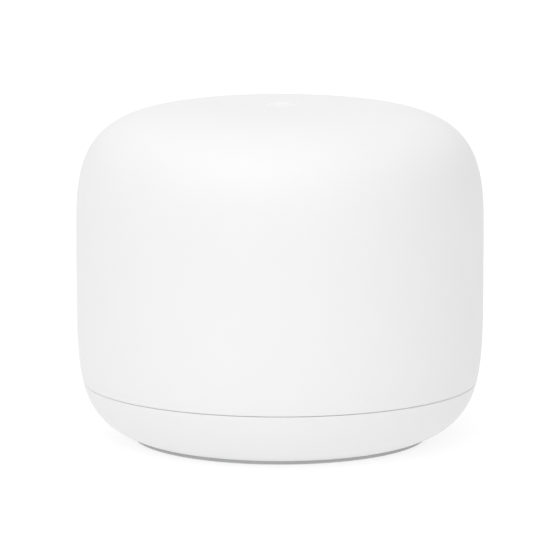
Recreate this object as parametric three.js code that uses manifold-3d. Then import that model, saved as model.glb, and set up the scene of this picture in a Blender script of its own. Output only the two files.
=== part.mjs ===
// A dome-shaped wireless router as an assembly of separate pieces.
// Millimetres, +Z up. The origin is on the table, at the centre of the foot. The front faces -Y,
// and the cable bay with its sockets opens at the back, towards +Y.
import * as THREE from "three";
import { mergeVertices } from "three/addons/utils/BufferGeometryUtils.js";
import Module from "manifold-3d";

const wasm = await Module();
wasm.setup();

// ---- Driving dimensions -------------------------------------------------------------------

const DIAMETER = 110;
const HEIGHT = 90.4;
const RADIUS = DIAMETER / 2;

// The skin is two superellipse arcs that meet at the belly, the widest ring.
const BELLY_Z = 51.7;
const BOWL_TIP_Z = -1.72; // where the lower arc would close if the foot did not cut it off
const DOME = { end: HEIGHT, along: 3.78, out: 4.32 };
const BOWL = { end: BOWL_TIP_Z, along: 5.41, out: 4.53 };

const WALL = 2.4; // both covers
const SEAM_Z = 15.5; // middle of the groove between the covers
const SEAM_GAP = 0.4;
const RIM_Z = 0.95; // flat underside of the lower cover
const FIT = 0.3; // clearance between curved neighbours
const REST = 0.1; // clearance between flat faces that rest on each other
const OVERLAP = 0.5; // how far two solids run into each other where they are joined

const FOOT_RADIUS = 40;
const FOOT_WIDTH = 9.2;
const FOOT_HEIGHT = RIM_Z - REST;
const BASE_RADIUS = 38.1;
const BASE_THICK = 2;
const BASE_TOP_Z = RIM_Z + BASE_THICK;
const SCREW_BORE = 1.35; // clearance for the case screws, in the base plate and the board

// The cable bay: a pocket in the back of the bowl, open below.
const BAY_HALF_WIDTH = 27.5;
const BAY_CEILING_Z = 13.9;
const BAY_WALL_Y = 34.5; // the wall that the sockets look through
const BAY_THICK = 1.2;
const BAY_CORNER = 3;
const SOCKET_FACE_Y = BAY_WALL_Y + 0.4; // the sockets stand this much proud of the wall

const BOARD_RADIUS = 46;
const BOARD_THICK = 1.6;
const BOARD_FLAT_Y = BAY_WALL_Y - BAY_THICK - 0.4;
const BOARD_BOTTOM_Z = 13.95;
const BOARD_TOP_Z = BOARD_BOTTOM_Z + BOARD_THICK;
const HANG_Z = BOARD_BOTTOM_Z - FIT; // top of whatever is soldered under the board
const STAND_Z = BOARD_TOP_Z + FIT; // bottom of whatever is soldered on the board

const JACK = { width: 16, height: 11.6, depth: 15, metal: 0.4 };
const POWER = { width: 9, height: 10.8, depth: 13.5, bore: 3.2, pin: 1 };
const SOCKET_GAP = 2.2;
const SOCKET_ROW_WIDTH = 2 * JACK.width + POWER.width + 2 * SOCKET_GAP;

const SINK_RADIUS = 40;
const SINK_Z = 20;
const SINK_BASE = 2.5;
const SINK_TOP_Z = 62;
const FIN_CIRCLE = 34;
const FIN_PITCH = 7.5;
const FIN_THICK = 1.5;

const FRAME_RADIUS = 47;
const FRAME_THICK = 1.5;
const FRAME_BOTTOM_Z = 19;
const FRAME_TOP_Z = 66;
const FRAME_TAB_DEGREES = [90, 190, 350];
const FRAME_TAB_THICK = 1.5;
const FRAME_SCREW_RADIUS = 38.4;
const ANTENNA_FIRST_DEG = 12;

const CASE_SCREWS = [
  [29.4, 17],
  [-29.4, 17],
  [-29.4, -17],
  [29.4, -17],
];
const RESET = {
  x: 0,
  y: 2,
  face: RIM_Z + 0.3,
  radius: 3,
  flange: 4.1,
  flangeThick: 0.8,
  flangeWay: 4.5,
  stem: 1.6,
  top: 9.55,
  edge: 0.3,
};

const ROUND = 48; // facets around the large round pieces
const MEDIUM_ROUND = 32; // facets around the reset button and the power socket's well
const SMALL_ROUND = 16; // facets around pins, screws and bores
const CORNER_STEPS = 5; // steps in the round corners of a plate
const CABLE_SEGMENTS = 3; // three.js draws a full circle with twice as many
const FAR = 200; // past every side of the router

// ---- Materials ----------------------------------------------------------------------------

const plastic = (color, roughness = 0.6) => new THREE.MeshStandardMaterial({ color, roughness });
const metal = (color, roughness = 0.35) =>
  new THREE.MeshStandardMaterial({ color, roughness, metalness: 1 });

const WHITE = plastic(0xf4f4f3, 0.55);
const GREY = plastic(0xc9cacb, 0.6);
const FOOT_GREY = plastic(0x9a9b9c, 0.8);
const BLACK = plastic(0x1b1c1e, 0.5);
const BOARD_GREEN = plastic(0x14532d, 0.45);
const CHIP = plastic(0x232428, 0.4);
const PAD_BLUE = plastic(0x8fa3b5, 0.9);
const FRAME_PLASTIC = plastic(0x3a3c40, 0.65);
const ANTENNA_FLEX = plastic(0xb87a3d, 0.35);
const COAX = plastic(0x2a2b2e, 0.5);
const CLEAR = plastic(0xe9eef2, 0.1);
const NICKEL = metal(0xc9cbcd, 0.3);
const GOLD = metal(0xd8b45a, 0.3);
const CAST_ALUMINIUM = metal(0xb4b8bc, 0.5);
const STEEL = metal(0x8c9094, 0.35);

// ---- Geometry helpers ---------------------------------------------------------------------

const MERGE_DISTANCE = 1e-4;

/** A three.js geometry as a manifold solid. */
function solid(geometry) {
  const bare = geometry.clone();
  bare.deleteAttribute("normal");
  bare.deleteAttribute("uv");
  const merged = mergeVertices(bare, MERGE_DISTANCE);
  return new wasm.Manifold(
    new wasm.Mesh({
      numProp: 3,
      vertProperties: new Float32Array(merged.attributes.position.array),
      triVerts: new Uint32Array(merged.index.array),
    }),
  );
}

/** A manifold solid as a three.js geometry. */
function geometryOf(made) {
  const { vertProperties, triVerts } = made.getMesh();
  const geometry = new THREE.BufferGeometry();
  geometry.setAttribute("position", new THREE.BufferAttribute(vertProperties, 3));
  geometry.setIndex(new THREE.BufferAttribute(triVerts, 1));
  const flat = geometry.toNonIndexed();
  flat.computeVertexNormals();
  return flat;
}

const join = (...solids) => solids.reduce((all, next) => all.add(next));
const cut = (body, ...tools) => tools.reduce((rest, tool) => rest.subtract(tool), body);

/** A solid between two opposite corners. */
function block([x0, y0, z0], [x1, y1, z1]) {
  const geometry = new THREE.BoxGeometry(x1 - x0, y1 - y0, z1 - z0);
  geometry.translate((x0 + x1) / 2, (y0 + y1) / 2, (z0 + z1) / 2);
  return solid(geometry);
}

/** A solid of revolution about Z from [radius, height] points that run counter-clockwise. */
function turned(points, facets = ROUND) {
  const profile = points.map(([r, z]) => new THREE.Vector2(r, z));
  if (profile[0].x > 0) profile.push(profile[0].clone());
  const geometry = new THREE.LatheGeometry(profile, facets);
  geometry.rotateX(Math.PI / 2);
  return solid(geometry);
}

/** A plain ring or, with no inner radius, a disc. */
function ring(inner, outer, z0, z1, facets = ROUND) {
  const corners = [
    [outer, z0],
    [outer, z1],
  ];
  if (inner > 0) return turned([[inner, z0], ...corners, [inner, z1]], facets);
  return turned([[0, z0], ...corners, [0, z1]], facets);
}

/** An upright round bar, standing at x, y. */
function rod(x, y, radius, z0, z1, facets = SMALL_ROUND) {
  return ring(0, radius, z0, z1, facets).translate([x, y, 0]);
}

/** A round bar along Y, centred on x, z. */
function barAlongY(x, z, radius, y0, y1, facets = SMALL_ROUND) {
  return ring(0, radius, 0, y1 - y0, facets).rotate([-90, 0, 0]).translate([x, y0, z]);
}

/** An upright plate with rounded corners in the XZ plane, between two places along Y. */
function roundedPlate([x0, x1], [z0, z1], [y0, y1], corner) {
  const shape = new THREE.Shape();
  shape.moveTo(x0 + corner, z0);
  shape.lineTo(x1 - corner, z0);
  shape.absarc(x1 - corner, z0 + corner, corner, -Math.PI / 2, 0, false);
  shape.lineTo(x1, z1 - corner);
  shape.absarc(x1 - corner, z1 - corner, corner, 0, Math.PI / 2, false);
  shape.lineTo(x0 + corner, z1);
  shape.absarc(x0 + corner, z1 - corner, corner, Math.PI / 2, Math.PI, false);
  shape.lineTo(x0, z0 + corner);
  shape.absarc(x0 + corner, z0 + corner, corner, Math.PI, 1.5 * Math.PI, false);
  const options = { depth: y1 - y0, bevelEnabled: false, curveSegments: CORNER_STEPS };
  const geometry = new THREE.ExtrudeGeometry(shape, options);
  geometry.rotateX(Math.PI / 2); // the extrusion now runs towards -Y
  geometry.translate(0, y1, 0);
  return solid(geometry);
}

/** A round cable along a smooth curve through the points. */
function cable(points, radius, steps) {
  const section = new THREE.Shape();
  section.absarc(0, 0, radius, 0, 2 * Math.PI, false);
  const extrudePath = new THREE.CatmullRomCurve3(points.map((p) => new THREE.Vector3(...p)));
  return new THREE.ExtrudeGeometry(section, { extrudePath, steps, curveSegments: CABLE_SEGMENTS });
}

const router = new THREE.Group();

/** Adds a named piece, made of a manifold solid or a geometry, to the router or to a group. */
function piece(name, made, material, parent = router) {
  const geometry = made.isBufferGeometry ? made : geometryOf(made);
  const mesh = new THREE.Mesh(geometry, material);
  mesh.name = name;
  parent.add(mesh);
  return mesh;
}

/** A group at a place, turned about Z. */
function groupAt([x, y, z], turnDegrees = 0) {
  const group = new THREE.Group();
  group.position.set(x, y, z);
  group.rotation.z = THREE.MathUtils.degToRad(turnDegrees);
  router.add(group);
  return group;
}

/** A point at a radius, an angle in degrees and a height. */
function polar(radius, degrees, z) {
  const angle = THREE.MathUtils.degToRad(degrees);
  return [radius * Math.cos(angle), radius * Math.sin(angle), z];
}

// ---- The skin -----------------------------------------------------------------------------

/** A skin point on one arc. The turn runs from 0 at the pole to a quarter circle at the belly. */
function skinPoint(arc, turn, inset) {
  const rise = arc.end - BELLY_Z;
  const share = Math.cos(turn) ** (2 / arc.along);
  const reach = Math.sin(turn) ** (2 / arc.out);
  const normal = new THREE.Vector2(
    (arc.out * reach ** (arc.out - 1)) / RADIUS,
    (arc.along * share ** (arc.along - 1)) / rise,
  ).normalize();
  const r = Math.max(0, RADIUS * reach - inset * normal.x);
  return [r, BELLY_Z + rise * share - inset * normal.y];
}

/** The whole outer form, pole to pole, drawn in by an inset along its normal. */
function skin(inset, steps) {
  const turns = Array.from({ length: steps + 1 }, (_, i) => (i / steps) * (Math.PI / 2));
  const bowl = turns.map((turn) => skinPoint(BOWL, turn, inset));
  const dome = turns.map((turn) => skinPoint(DOME, turn, inset)).reverse();
  const points = [...bowl, ...dome.slice(1)];
  points[0][0] = 0;
  points[points.length - 1][0] = 0;
  return turned(points);
}

const above = (z) => block([-FAR, -FAR, z], [FAR, FAR, z + FAR]);
const below = (z) => block([-FAR, -FAR, z - FAR], [FAR, FAR, z]);

const OUTER_STEPS = 11; // along each arc of the outer surface
const INNER_STEPS = 7;
const outerForm = skin(0, OUTER_STEPS);
const innerForm = skin(WALL, INNER_STEPS);
const insideCovers = skin(WALL + FIT, INNER_STEPS);
const flushForm = skin(REST, OUTER_STEPS); // just below the outer surface
const shell = cut(outerForm, innerForm);

// ---- Covers -------------------------------------------------------------------------------

const LIP = { inner: 50.6, outer: 51.6, bottom: 12, top: 18 };
const HOOK = { width: 8, inner: 48.8, outer: 50, bottom: 11.5, barb: 19.9, top: 21.6, reach: 51.2 };
const HOOK_DEGREES = [30, 150, 195, 240, 300, 345]; // clear of the cable bay and the light
const HOOK_ROOT = { outer: LIP.inner + 0.2, top: LIP.top - 0.4 }; // the rib that ties it to the lip
const LEDGE = { inner: 50.4, outer: RADIUS - 1.6, margin: 1, bottom: 18.6, top: 19.6 };
const MARK = { radius: 4.5, depth: 0.35 };
const LIGHT = { z: 11, window: 1.6, tip: 51, pocketEnd: 40 };
const BASE_OPENING_TOP_Z = BASE_TOP_Z + 1.5;
const ARCH = { bottom: -9, front: 24 }; // the cutter of the bay's opening starts below and inside

/** Copies of a solid, turned about Z to each angle. */
const turnedTo = (angles, made) => join(...angles.map((degrees) => made.rotate([0, 0, degrees])));

function addUpperCover() {
  const dome = shell.intersect(above(SEAM_Z + SEAM_GAP / 2));
  const rebate = ring(0, LIP.outer + FIT, SEAM_Z, LIP.top + FIT);
  const halfLedge = HOOK.width / 2 + LEDGE.margin;
  const ledge = block([LEDGE.inner, -halfLedge, LEDGE.bottom], [LEDGE.outer, halfLedge, LEDGE.top]);
  const ledges = turnedTo(HOOK_DEGREES, ledge);
  const mark = rod(0, 0, MARK.radius, HEIGHT - MARK.depth, FAR, MEDIUM_ROUND);
  piece("upper_cover", cut(join(cut(dome, rebate), ledges), mark), WHITE);
}

function addLowerCover() {
  const band = below(SEAM_Z - SEAM_GAP / 2).intersect(above(RIM_Z));
  const bowl = shell.intersect(band);
  const lip = ring(LIP.inner, LIP.outer, LIP.bottom, LIP.top);
  const half = HOOK.width / 2;
  const stem = block([HOOK.inner, -half, HOOK.bottom], [HOOK.outer, half, HOOK.top]);
  const root = block([HOOK.inner, -half, HOOK.bottom], [HOOK_ROOT.outer, half, HOOK_ROOT.top]);
  const barb = block([HOOK.inner, -half, HOOK.barb], [HOOK.reach, half, HOOK.top]);
  const hooks = turnedTo(HOOK_DEGREES, join(stem, root, barb)).intersect(innerForm);
  const baseOpening = rod(0, 0, BASE_RADIUS + FIT, -FAR, BASE_OPENING_TOP_Z, ROUND);
  const side = BAY_HALF_WIDTH;
  const arch = roundedPlate([-side, side], [ARCH.bottom, BAY_CEILING_Z], [ARCH.front, FAR], BAY_CORNER);
  const lampPocket = barAlongY(0, LIGHT.z, LIGHT.window, -LIGHT.tip, -LIGHT.pocketEnd);
  piece("lower_cover", cut(join(bowl, lip, hooks), baseOpening, arch, lampPocket), WHITE);
}

const FOOT = { edge: 0.3, endY: BAY_WALL_Y - 0.6 }; // the ring is open at the back, at the bay

function addFoot() {
  const inner = FOOT_RADIUS - FOOT_WIDTH;
  const section = [
    [inner + FOOT.edge, 0],
    [FOOT_RADIUS - FOOT.edge, 0],
    [FOOT_RADIUS, FOOT.edge],
    [FOOT_RADIUS, FOOT_HEIGHT],
    [inner, FOOT_HEIGHT],
    [inner, FOOT.edge],
  ];
  const behind = block([-FAR, FOOT.endY, -FAR], [FAR, FAR, FAR]);
  piece("foot_ring", cut(turned(section), behind), FOOT_GREY);
}

const NECK_WALL = 2;
const FLANGE = { z: 4.3, thick: 1.2, radius: 41.2 };
const POST = { radius: 4, head: 2.7, headTop: 4.2 }; // with the room for a screw's head
const GUIDE = { radius: 5.6, top: 6 }; // the sleeve around the reset button
const UNDER_SOCKETS = { thick: 0.8, margin: 0.5 }; // the plate is thin under the sockets
const TONGUE = { front: 10, top: 5 };
const LABEL = { width: 30, length: 18, y: -16, depth: 0.3, corner: 2 };

function addBasePlate() {
  const flangeTop = FLANGE.z + FLANGE.thick;
  const neckInner = BASE_RADIUS - NECK_WALL;
  const disc = ring(0, BASE_RADIUS, RIM_Z, BASE_TOP_Z);
  const neck = ring(neckInner, BASE_RADIUS, BASE_TOP_Z - OVERLAP, flangeTop);
  const flange = ring(neckInner, FLANGE.radius, FLANGE.z, flangeTop);
  // Behind the ring, the plate runs on to the cable bay, as part of the bowl's surface.
  const side = BAY_HALF_WIDTH - FIT;
  const tongue = block([-side, TONGUE.front, RIM_Z], [side, BAY_WALL_Y, TONGUE.top]);
  const posts = CASE_SCREWS.map(([x, y]) => rod(x, y, POST.radius, RIM_Z, HANG_Z));
  const guide = rod(RESET.x, RESET.y, GUIDE.radius, BASE_TOP_Z - OVERLAP, GUIDE.top);
  const whole = join(disc, neck, flange, tongue.intersect(outerForm), ...posts, guide);

  const rowHalf = SOCKET_ROW_WIDTH / 2 + UNDER_SOCKETS.margin;
  const rowFrontY = SOCKET_FACE_Y - JACK.depth - UNDER_SOCKETS.margin;
  const sockets = block([-rowHalf, rowFrontY, RIM_Z + UNDER_SOCKETS.thick], [rowHalf, FAR, FAR]);
  const bay = block([-FAR, BAY_WALL_Y - BAY_THICK - REST, -FAR], [FAR, FAR, FAR]);
  const bores = CASE_SCREWS.flatMap(([x, y]) => [
    rod(x, y, SCREW_BORE, -FAR, FAR),
    rod(x, y, POST.head, -FAR, POST.headTop),
  ]);
  const buttonWay = rod(RESET.x, RESET.y, RESET.radius + FIT, -FAR, FAR);
  const flangeWay = rod(RESET.x, RESET.y, RESET.flangeWay, BASE_TOP_Z, FAR);
  const halfWidth = LABEL.width / 2;
  const halfLength = LABEL.length / 2;
  const label = roundedPlate([-halfWidth, halfWidth], [-halfLength, halfLength], [-1, 0], LABEL.corner)
    .rotate([90, 0, 0])
    .translate([0, LABEL.y, RIM_Z + LABEL.depth]);
  piece("base_plate", cut(whole, sockets, bay, ...bores, buttonWay, flangeWay, label), GREY);
}

// ---- Cable bay and sockets ----------------------------------------------------------------

/** The sockets from left to right as seen from the front, with their centres worked out. */
function socketRow() {
  const row = [
    { name: "lan_jack", ...JACK },
    { name: "wan_jack", ...JACK },
    { name: "power_jack", ...POWER },
  ];
  let x = -SOCKET_ROW_WIDTH / 2;
  for (const socket of row) {
    socket.x = x + socket.width / 2;
    x += socket.width + SOCKET_GAP;
  }
  return row;
}
const SOCKETS = socketRow();

const BAY = { side: 1, ceiling: 1, wallTop: 0.5, windowCorner: 0.6 };

function addPortBay() {
  const half = BAY_HALF_WIDTH;
  const front = BAY_WALL_Y - BAY_THICK;
  const bottomZ = RIM_Z + REST;
  const topZ = BAY_CEILING_Z + BAY.ceiling;
  const outer = block([-half - BAY.side, front, bottomZ], [half + BAY.side, FAR, topZ]);
  const hollow = block([-half, BAY_WALL_Y, -FAR], [half, FAR, BAY_CEILING_Z]);
  const windows = SOCKETS.map(({ x, width, height }) =>
    roundedPlate(
      [x - width / 2 - FIT, x + width / 2 + FIT],
      [HANG_Z - height - FIT, HANG_Z + FIT],
      [front - 1, BAY_WALL_Y + 1],
      BAY.windowCorner,
    ),
  );
  const lipWay = ring(LIP.inner - FIT, RADIUS, -FAR, FAR);
  const walls = cut(outer, hollow).intersect(insideCovers);
  const halfWall = half - FIT;
  const backWall = block([-halfWall, front, bottomZ], [halfWall, BAY_WALL_Y, topZ - BAY.wallTop]);
  const bay = join(cut(walls, lipWay), backWall.intersect(flushForm));
  piece("port_bay", cut(bay, ...windows), GREY);
}

const PLUG = { width: 11.9, height: 7, top: 1.45, depth: 12, mouth: 0.25 };
const LATCH_STEPS = [
  { half: 3.1, drop: 1.5 },
  { half: 1.75, drop: 2.4 },
];
const INSERT = { back: 0.5, tailHalf: 4.7, tailY: [-11.2, -9.4], tailZ: [-PLUG.top - 0.5, 1] };
const STRIP = { half: 4.2, y: [-10.8, -9.8], z: [-3.6, -0.6] }; // holds the wires' tails
const WIRE = { count: 8, pitch: 1.02, half: 0.22, thick: 0.36, length: 8.7, slope: 9, y: -10.3, z: -3.2 };

/** The keyhole outline of an eight-pin socket: plug room, then the two steps of its latch. */
function plugRoom(grow, y0, y1) {
  const top = -PLUG.top + grow;
  const floor = -PLUG.top - PLUG.height - grow;
  const half = PLUG.width / 2 + grow;
  const latch = LATCH_STEPS.map((step) =>
    block([-step.half - grow, y0, floor - step.drop], [step.half + grow, y1, top]),
  );
  return join(block([-half, y0, floor], [half, y1, top]), ...latch);
}

/** A shielded eight-pin network socket hanging under the board. Its mouth faces +Y at y = 0. */
function addNetworkJack({ name, x, width, height, depth, metal: sheet }) {
  const group = groupAt([x, SOCKET_FACE_Y, HANG_Z]);
  const half = width / 2;
  const can = block([-half, -depth, -height], [half, 0, 0]);
  const canRoom = block([-half + sheet, -depth - 1, -height + sheet], [half - sheet, -sheet, -sheet]);
  piece(`${name}_shield`, cut(can, canRoom, plugRoom(PLUG.mouth, -1, 1)), NICKEL, group);

  const air = sheet + REST;
  const insert = block([-half + air, -depth + INSERT.back, -height + air], [half - air, -air, -air]);
  const [tailBack, tailFront] = INSERT.tailY;
  const [tailBottom, tailTop] = INSERT.tailZ;
  const tailSlot = block(
    [-INSERT.tailHalf, tailBack, tailBottom],
    [INSERT.tailHalf, tailFront, tailTop],
  );
  const room = plugRoom(0, -PLUG.depth, 1);
  piece(`${name}_insert`, cut(insert, room, tailSlot), BLACK, group);

  // Springy wires slope back into the plug's room from a strip that rises to the board.
  const strip = block([-STRIP.half, STRIP.y[0], STRIP.z[0]], [STRIP.half, STRIP.y[1], STRIP.z[1]]);
  const bar = block([-WIRE.half, 0, -WIRE.thick / 2], [WIRE.half, WIRE.length, WIRE.thick / 2]);
  const wires = Array.from({ length: WIRE.count }, (_, i) =>
    bar.rotate([WIRE.slope, 0, 0]).translate([(i - (WIRE.count - 1) / 2) * WIRE.pitch, WIRE.y, WIRE.z]),
  );
  piece(`${name}_contacts`, join(strip, ...wires), GOLD, group);
}

const POWER_WELL_DEPTH = 10;
const PIN = { air: 0.15, shoulderY: -2.2, tipY: -1.4, tipShare: 0.6 };
const LEAF_WAY = { half: 1.3, y: [-9, -2], drop: 0.9 };
const LEAF = { half: 1, y: [-8.7, -2.3], drop: 0.6, thick: 0.3 };
const LEAF_BUMP = { radius: 0.35, y: [-6.5, -4.5], facets: 8 };

/** The barrel socket for the power lead. */
function addPowerJack({ name, x, width, height, depth, bore, pin }) {
  const group = groupAt([x, SOCKET_FACE_Y, HANG_Z]);
  const half = width / 2;
  const middle = -height / 2;
  const housing = block([-half, -depth, -height], [half, 0, 0]);
  const well = barAlongY(0, middle, bore, -POWER_WELL_DEPTH, 1, MEDIUM_ROUND);
  const pinWay = barAlongY(0, middle, pin + PIN.air, -depth - 1, 0);
  const leafWay = block(
    [-LEAF_WAY.half, LEAF_WAY.y[0], middle - bore - LEAF_WAY.drop],
    [LEAF_WAY.half, LEAF_WAY.y[1], middle],
  );
  piece(`${name}_body`, cut(housing, well, pinWay, leafWay), BLACK, group);

  const profile = [
    [0, -depth],
    [pin, -depth],
    [pin, PIN.shoulderY],
    [pin * PIN.tipShare, PIN.tipY],
    [0, PIN.tipY],
  ];
  const tip = turned(profile, SMALL_ROUND).rotate([-90, 0, 0]).translate([0, 0, middle]);
  piece(`${name}_pin`, tip, NICKEL, group);

  const leafZ = middle - bore - LEAF.drop;
  const leafTop = leafZ + LEAF.thick;
  const leaf = block([-LEAF.half, LEAF.y[0], leafZ], [LEAF.half, LEAF.y[1], leafTop]);
  const bump = barAlongY(0, leafTop, LEAF_BUMP.radius, ...LEAF_BUMP.y, LEAF_BUMP.facets);
  piece(`${name}_contact`, join(leaf, bump), NICKEL, group);
}

// ---- Reset button and its switch ----------------------------------------------------------

const PLUNGER = { radius: 1.5, gap: 0.35, length: 2.3, room: 0.6 };
const SWITCH = { half: 3, rise: 0.85 }; // the body starts this much above the plunger's end

function addReset() {
  const group = groupAt([RESET.x, RESET.y, 0]);
  const flangeZ = BASE_TOP_Z + FIT;
  const flangeTop = flangeZ + RESET.flangeThick;
  const profile = [
    [0, RESET.face],
    [RESET.radius - RESET.edge, RESET.face],
    [RESET.radius, RESET.face + RESET.edge],
    [RESET.radius, flangeZ],
    [RESET.flange, flangeZ],
    [RESET.flange, flangeTop],
    [RESET.stem, flangeTop],
    [RESET.stem, RESET.top],
    [0, RESET.top],
  ];
  piece("reset_button", turned(profile, MEDIUM_ROUND), GREY, group);

  const plungerZ = RESET.top + PLUNGER.gap;
  const plungerTop = plungerZ + PLUNGER.length;
  const { half, rise } = SWITCH;
  const body = block([-half, -half, plungerZ + rise], [half, half, HANG_Z]);
  const well = rod(0, 0, PLUNGER.radius + FIT, 0, plungerTop + PLUNGER.room);
  piece("reset_switch_body", cut(body, well), BLACK, group);
  piece("reset_switch_plunger", rod(0, 0, PLUNGER.radius, plungerZ, plungerTop), FOOT_GREY, group);
}

// ---- Main board and what is soldered to it ------------------------------------------------

function addMainBoard() {
  const disc = ring(0, BOARD_RADIUS, BOARD_BOTTOM_Z, BOARD_TOP_Z);
  const behind = block([-FAR, BOARD_FLAT_Y, -FAR], [FAR, FAR, FAR]);
  const holes = CASE_SCREWS.map(([x, y]) => rod(x, y, SCREW_BORE, -FAR, FAR));
  piece("main_board", cut(disc, behind, ...holes), BOARD_GREEN);
}

/** A plain block over the board: its centre, its width, depth and height, and its bottom. */
function slab([x, y], [width, depth, height], z = STAND_Z) {
  return block([x - width / 2, y - depth / 2, z], [x + width / 2, y + depth / 2, z + height]);
}

const LID = { tall: 2.2, sheet: 0.3 };

/** A folded metal lid over a radio or the processor, with a soft pad up to the heat sink. */
function addShielded({ name, at, size: [width, depth], pad }) {
  const lid = slab(at, [width, depth, LID.tall]);
  const roomSize = [width - 2 * LID.sheet, depth - 2 * LID.sheet, LID.tall - LID.sheet + 1];
  piece(`${name}_shield`, cut(lid, slab(at, roomSize, STAND_Z - 1)), NICKEL);
  const padZ = STAND_Z + LID.tall + REST;
  piece(`${name}_thermal_pad`, slab(at, [...pad, SINK_Z - REST - padZ], padZ), PAD_BLUE);
}

const SHIELDED = [
  { name: "cpu", at: [0, 2], size: [30, 28], pad: [22, 20] },
  { name: "radio_5g", at: [0, -28], size: [36, 20], pad: [26, 14] },
  { name: "radio_2g", at: [-29, 0], size: [20, 22], pad: [14, 14] },
];
const CHIPS = [
  { name: "cpu_chip", at: [-5, 2], size: [14, 14, 1] },
  { name: "ram_chip", at: [9, 8], size: [8, 11, 0.9] },
  { name: "flash_chip", at: [9, -6], size: [8, 9, 0.9] },
  { name: "radio_5g_chip", at: [0, -28], size: [12, 12, 1] },
  { name: "radio_2g_chip", at: [-29, 0], size: [9, 9, 1] },
  { name: "ethernet_chip", at: [-4, 25], size: [12, 12, 1] },
  { name: "power_inductor", at: [28, 0], size: [8, 8, 3.4] },
];
const MAGNETICS = { at: [-6, 15.4], size: [24, 5.6, 6] };
const CAPACITORS = { x: 30, y: [-5, 6], radius: 4, tall: 9.2 };

function addBoardParts() {
  SHIELDED.forEach(addShielded);
  for (const { name, at, size } of CHIPS) piece(name, slab(at, size), CHIP);
  piece("lan_magnetics", slab(MAGNETICS.at, MAGNETICS.size, HANG_Z - MAGNETICS.size[2]), BLACK);
  CAPACITORS.y.forEach((y, index) => {
    const can = rod(CAPACITORS.x, y, CAPACITORS.radius, HANG_Z - CAPACITORS.tall, HANG_Z);
    piece(`bulk_capacitor_${index + 1}`, can, STEEL);
  });
}

const LED = { y: -44.6, size: [1.6, 1, 0.7] };
const PIPE = { air: 0.4, half: 1, top: 1, foot: 0.6 }; // a bar to the wall, and an upright elbow

function addStatusLight() {
  piece("status_led", slab([0, LED.y], LED.size, HANG_Z - LED.size[2]), CLEAR);
  const radius = LIGHT.window - PIPE.air;
  const guide = barAlongY(0, LIGHT.z, radius, -LIGHT.tip + PIPE.air, LED.y + PIPE.half);
  const elbow = block(
    [-PIPE.half, LED.y - PIPE.half, LIGHT.z - PIPE.foot],
    [PIPE.half, LED.y + PIPE.half, HANG_Z - PIPE.top],
  );
  piece("light_pipe", join(guide, elbow), CLEAR);
}

// ---- Heat sink ----------------------------------------------------------------------------

const BOSS = { radius: 3, bore: 1.3, lap: 1, skin: 0.5 }; // the bores stop short of the top
const FRAME_SCREW_BORE = 1.1;

function addHeatSink() {
  const baseTop = SINK_Z + SINK_BASE;
  const disc = ring(0, SINK_RADIUS, SINK_Z, baseTop);
  const bosses = CASE_SCREWS.map(([x, y]) => rod(x, y, BOSS.radius, STAND_Z, SINK_Z + BOSS.lap));
  const finsEachSide = Math.floor(FIN_CIRCLE / FIN_PITCH);
  const fins = [];
  for (let i = -finsEachSide; i <= finsEachSide; i += 1) {
    const x = i * FIN_PITCH;
    const reach = Math.sqrt(FIN_CIRCLE ** 2 - x ** 2);
    const half = FIN_THICK / 2;
    fins.push(block([x - half, -reach, baseTop - OVERLAP], [x + half, reach, SINK_TOP_Z]));
  }
  const caseBores = CASE_SCREWS.map(([x, y]) => rod(x, y, BOSS.bore, -FAR, baseTop - BOSS.skin));
  const frameBores = FRAME_TAB_DEGREES.map((degrees) => {
    const [x, y] = polar(FRAME_SCREW_RADIUS, degrees, 0);
    return rod(x, y, FRAME_SCREW_BORE, SINK_Z - 1, FAR);
  });
  piece("heat_sink", cut(join(disc, ...bosses, ...fins), ...caseBores, ...frameBores), CAST_ALUMINIUM);
}

// ---- Antennas, their frame and their leads ------------------------------------------------

const SHORT_ANTENNA = { width: 11, tall: 24 };
const TALL_ANTENNA = { width: 12, tall: 36 };
const ANTENNAS = [
  { name: "antenna_5g_1", ...SHORT_ANTENNA },
  { name: "antenna_2g_1", ...TALL_ANTENNA },
  { name: "antenna_5g_2", ...SHORT_ANTENNA },
  { name: "antenna_smart_home", width: 9, tall: 20 },
  { name: "antenna_5g_3", ...SHORT_ANTENNA },
  { name: "antenna_2g_2", ...TALL_ANTENNA },
  { name: "antenna_5g_4", ...SHORT_ANTENNA },
];
const ANTENNA_PITCH_DEG = 360 / ANTENNAS.length;
const antennaDegrees = (index) => ANTENNA_FIRST_DEG + index * ANTENNA_PITCH_DEG;

const FRAME_INNER = FRAME_RADIUS - FRAME_THICK;
const FRAME_FACETS = 56; // eight to each antenna
const PANEL = { width: 16, sill: 26, header: 6 }; // the panels stand between tall openings
const TAB = { inner: 35.5, half: 4, bore: 1.3 };
const TAB_Z = SINK_Z + SINK_BASE + REST;

function addAntennaFrame() {
  const drum = ring(FRAME_INNER, FRAME_RADIUS, FRAME_BOTTOM_Z, FRAME_TOP_Z, FRAME_FACETS);
  const openHalf = ((2 * Math.PI * FRAME_INNER) / ANTENNAS.length - PANEL.width) / 2;
  const opening = block(
    [TAB.inner, -openHalf, PANEL.sill],
    [FRAME_RADIUS + 1, openHalf, FRAME_TOP_Z - PANEL.header],
  );
  const between = ANTENNAS.map((_, index) => antennaDegrees(index) + ANTENNA_PITCH_DEG / 2);
  const arm = block(
    [TAB.inner, -TAB.half, TAB_Z],
    [FRAME_INNER + OVERLAP, TAB.half, TAB_Z + FRAME_TAB_THICK],
  );
  const tab = cut(arm, rod(FRAME_SCREW_RADIUS, 0, TAB.bore, 0, FAR));
  const tabs = turnedTo(FRAME_TAB_DEGREES, tab);
  piece("antenna_frame", join(cut(drum, turnedTo(between, opening)), tabs), FRAME_PLASTIC);
}

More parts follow.
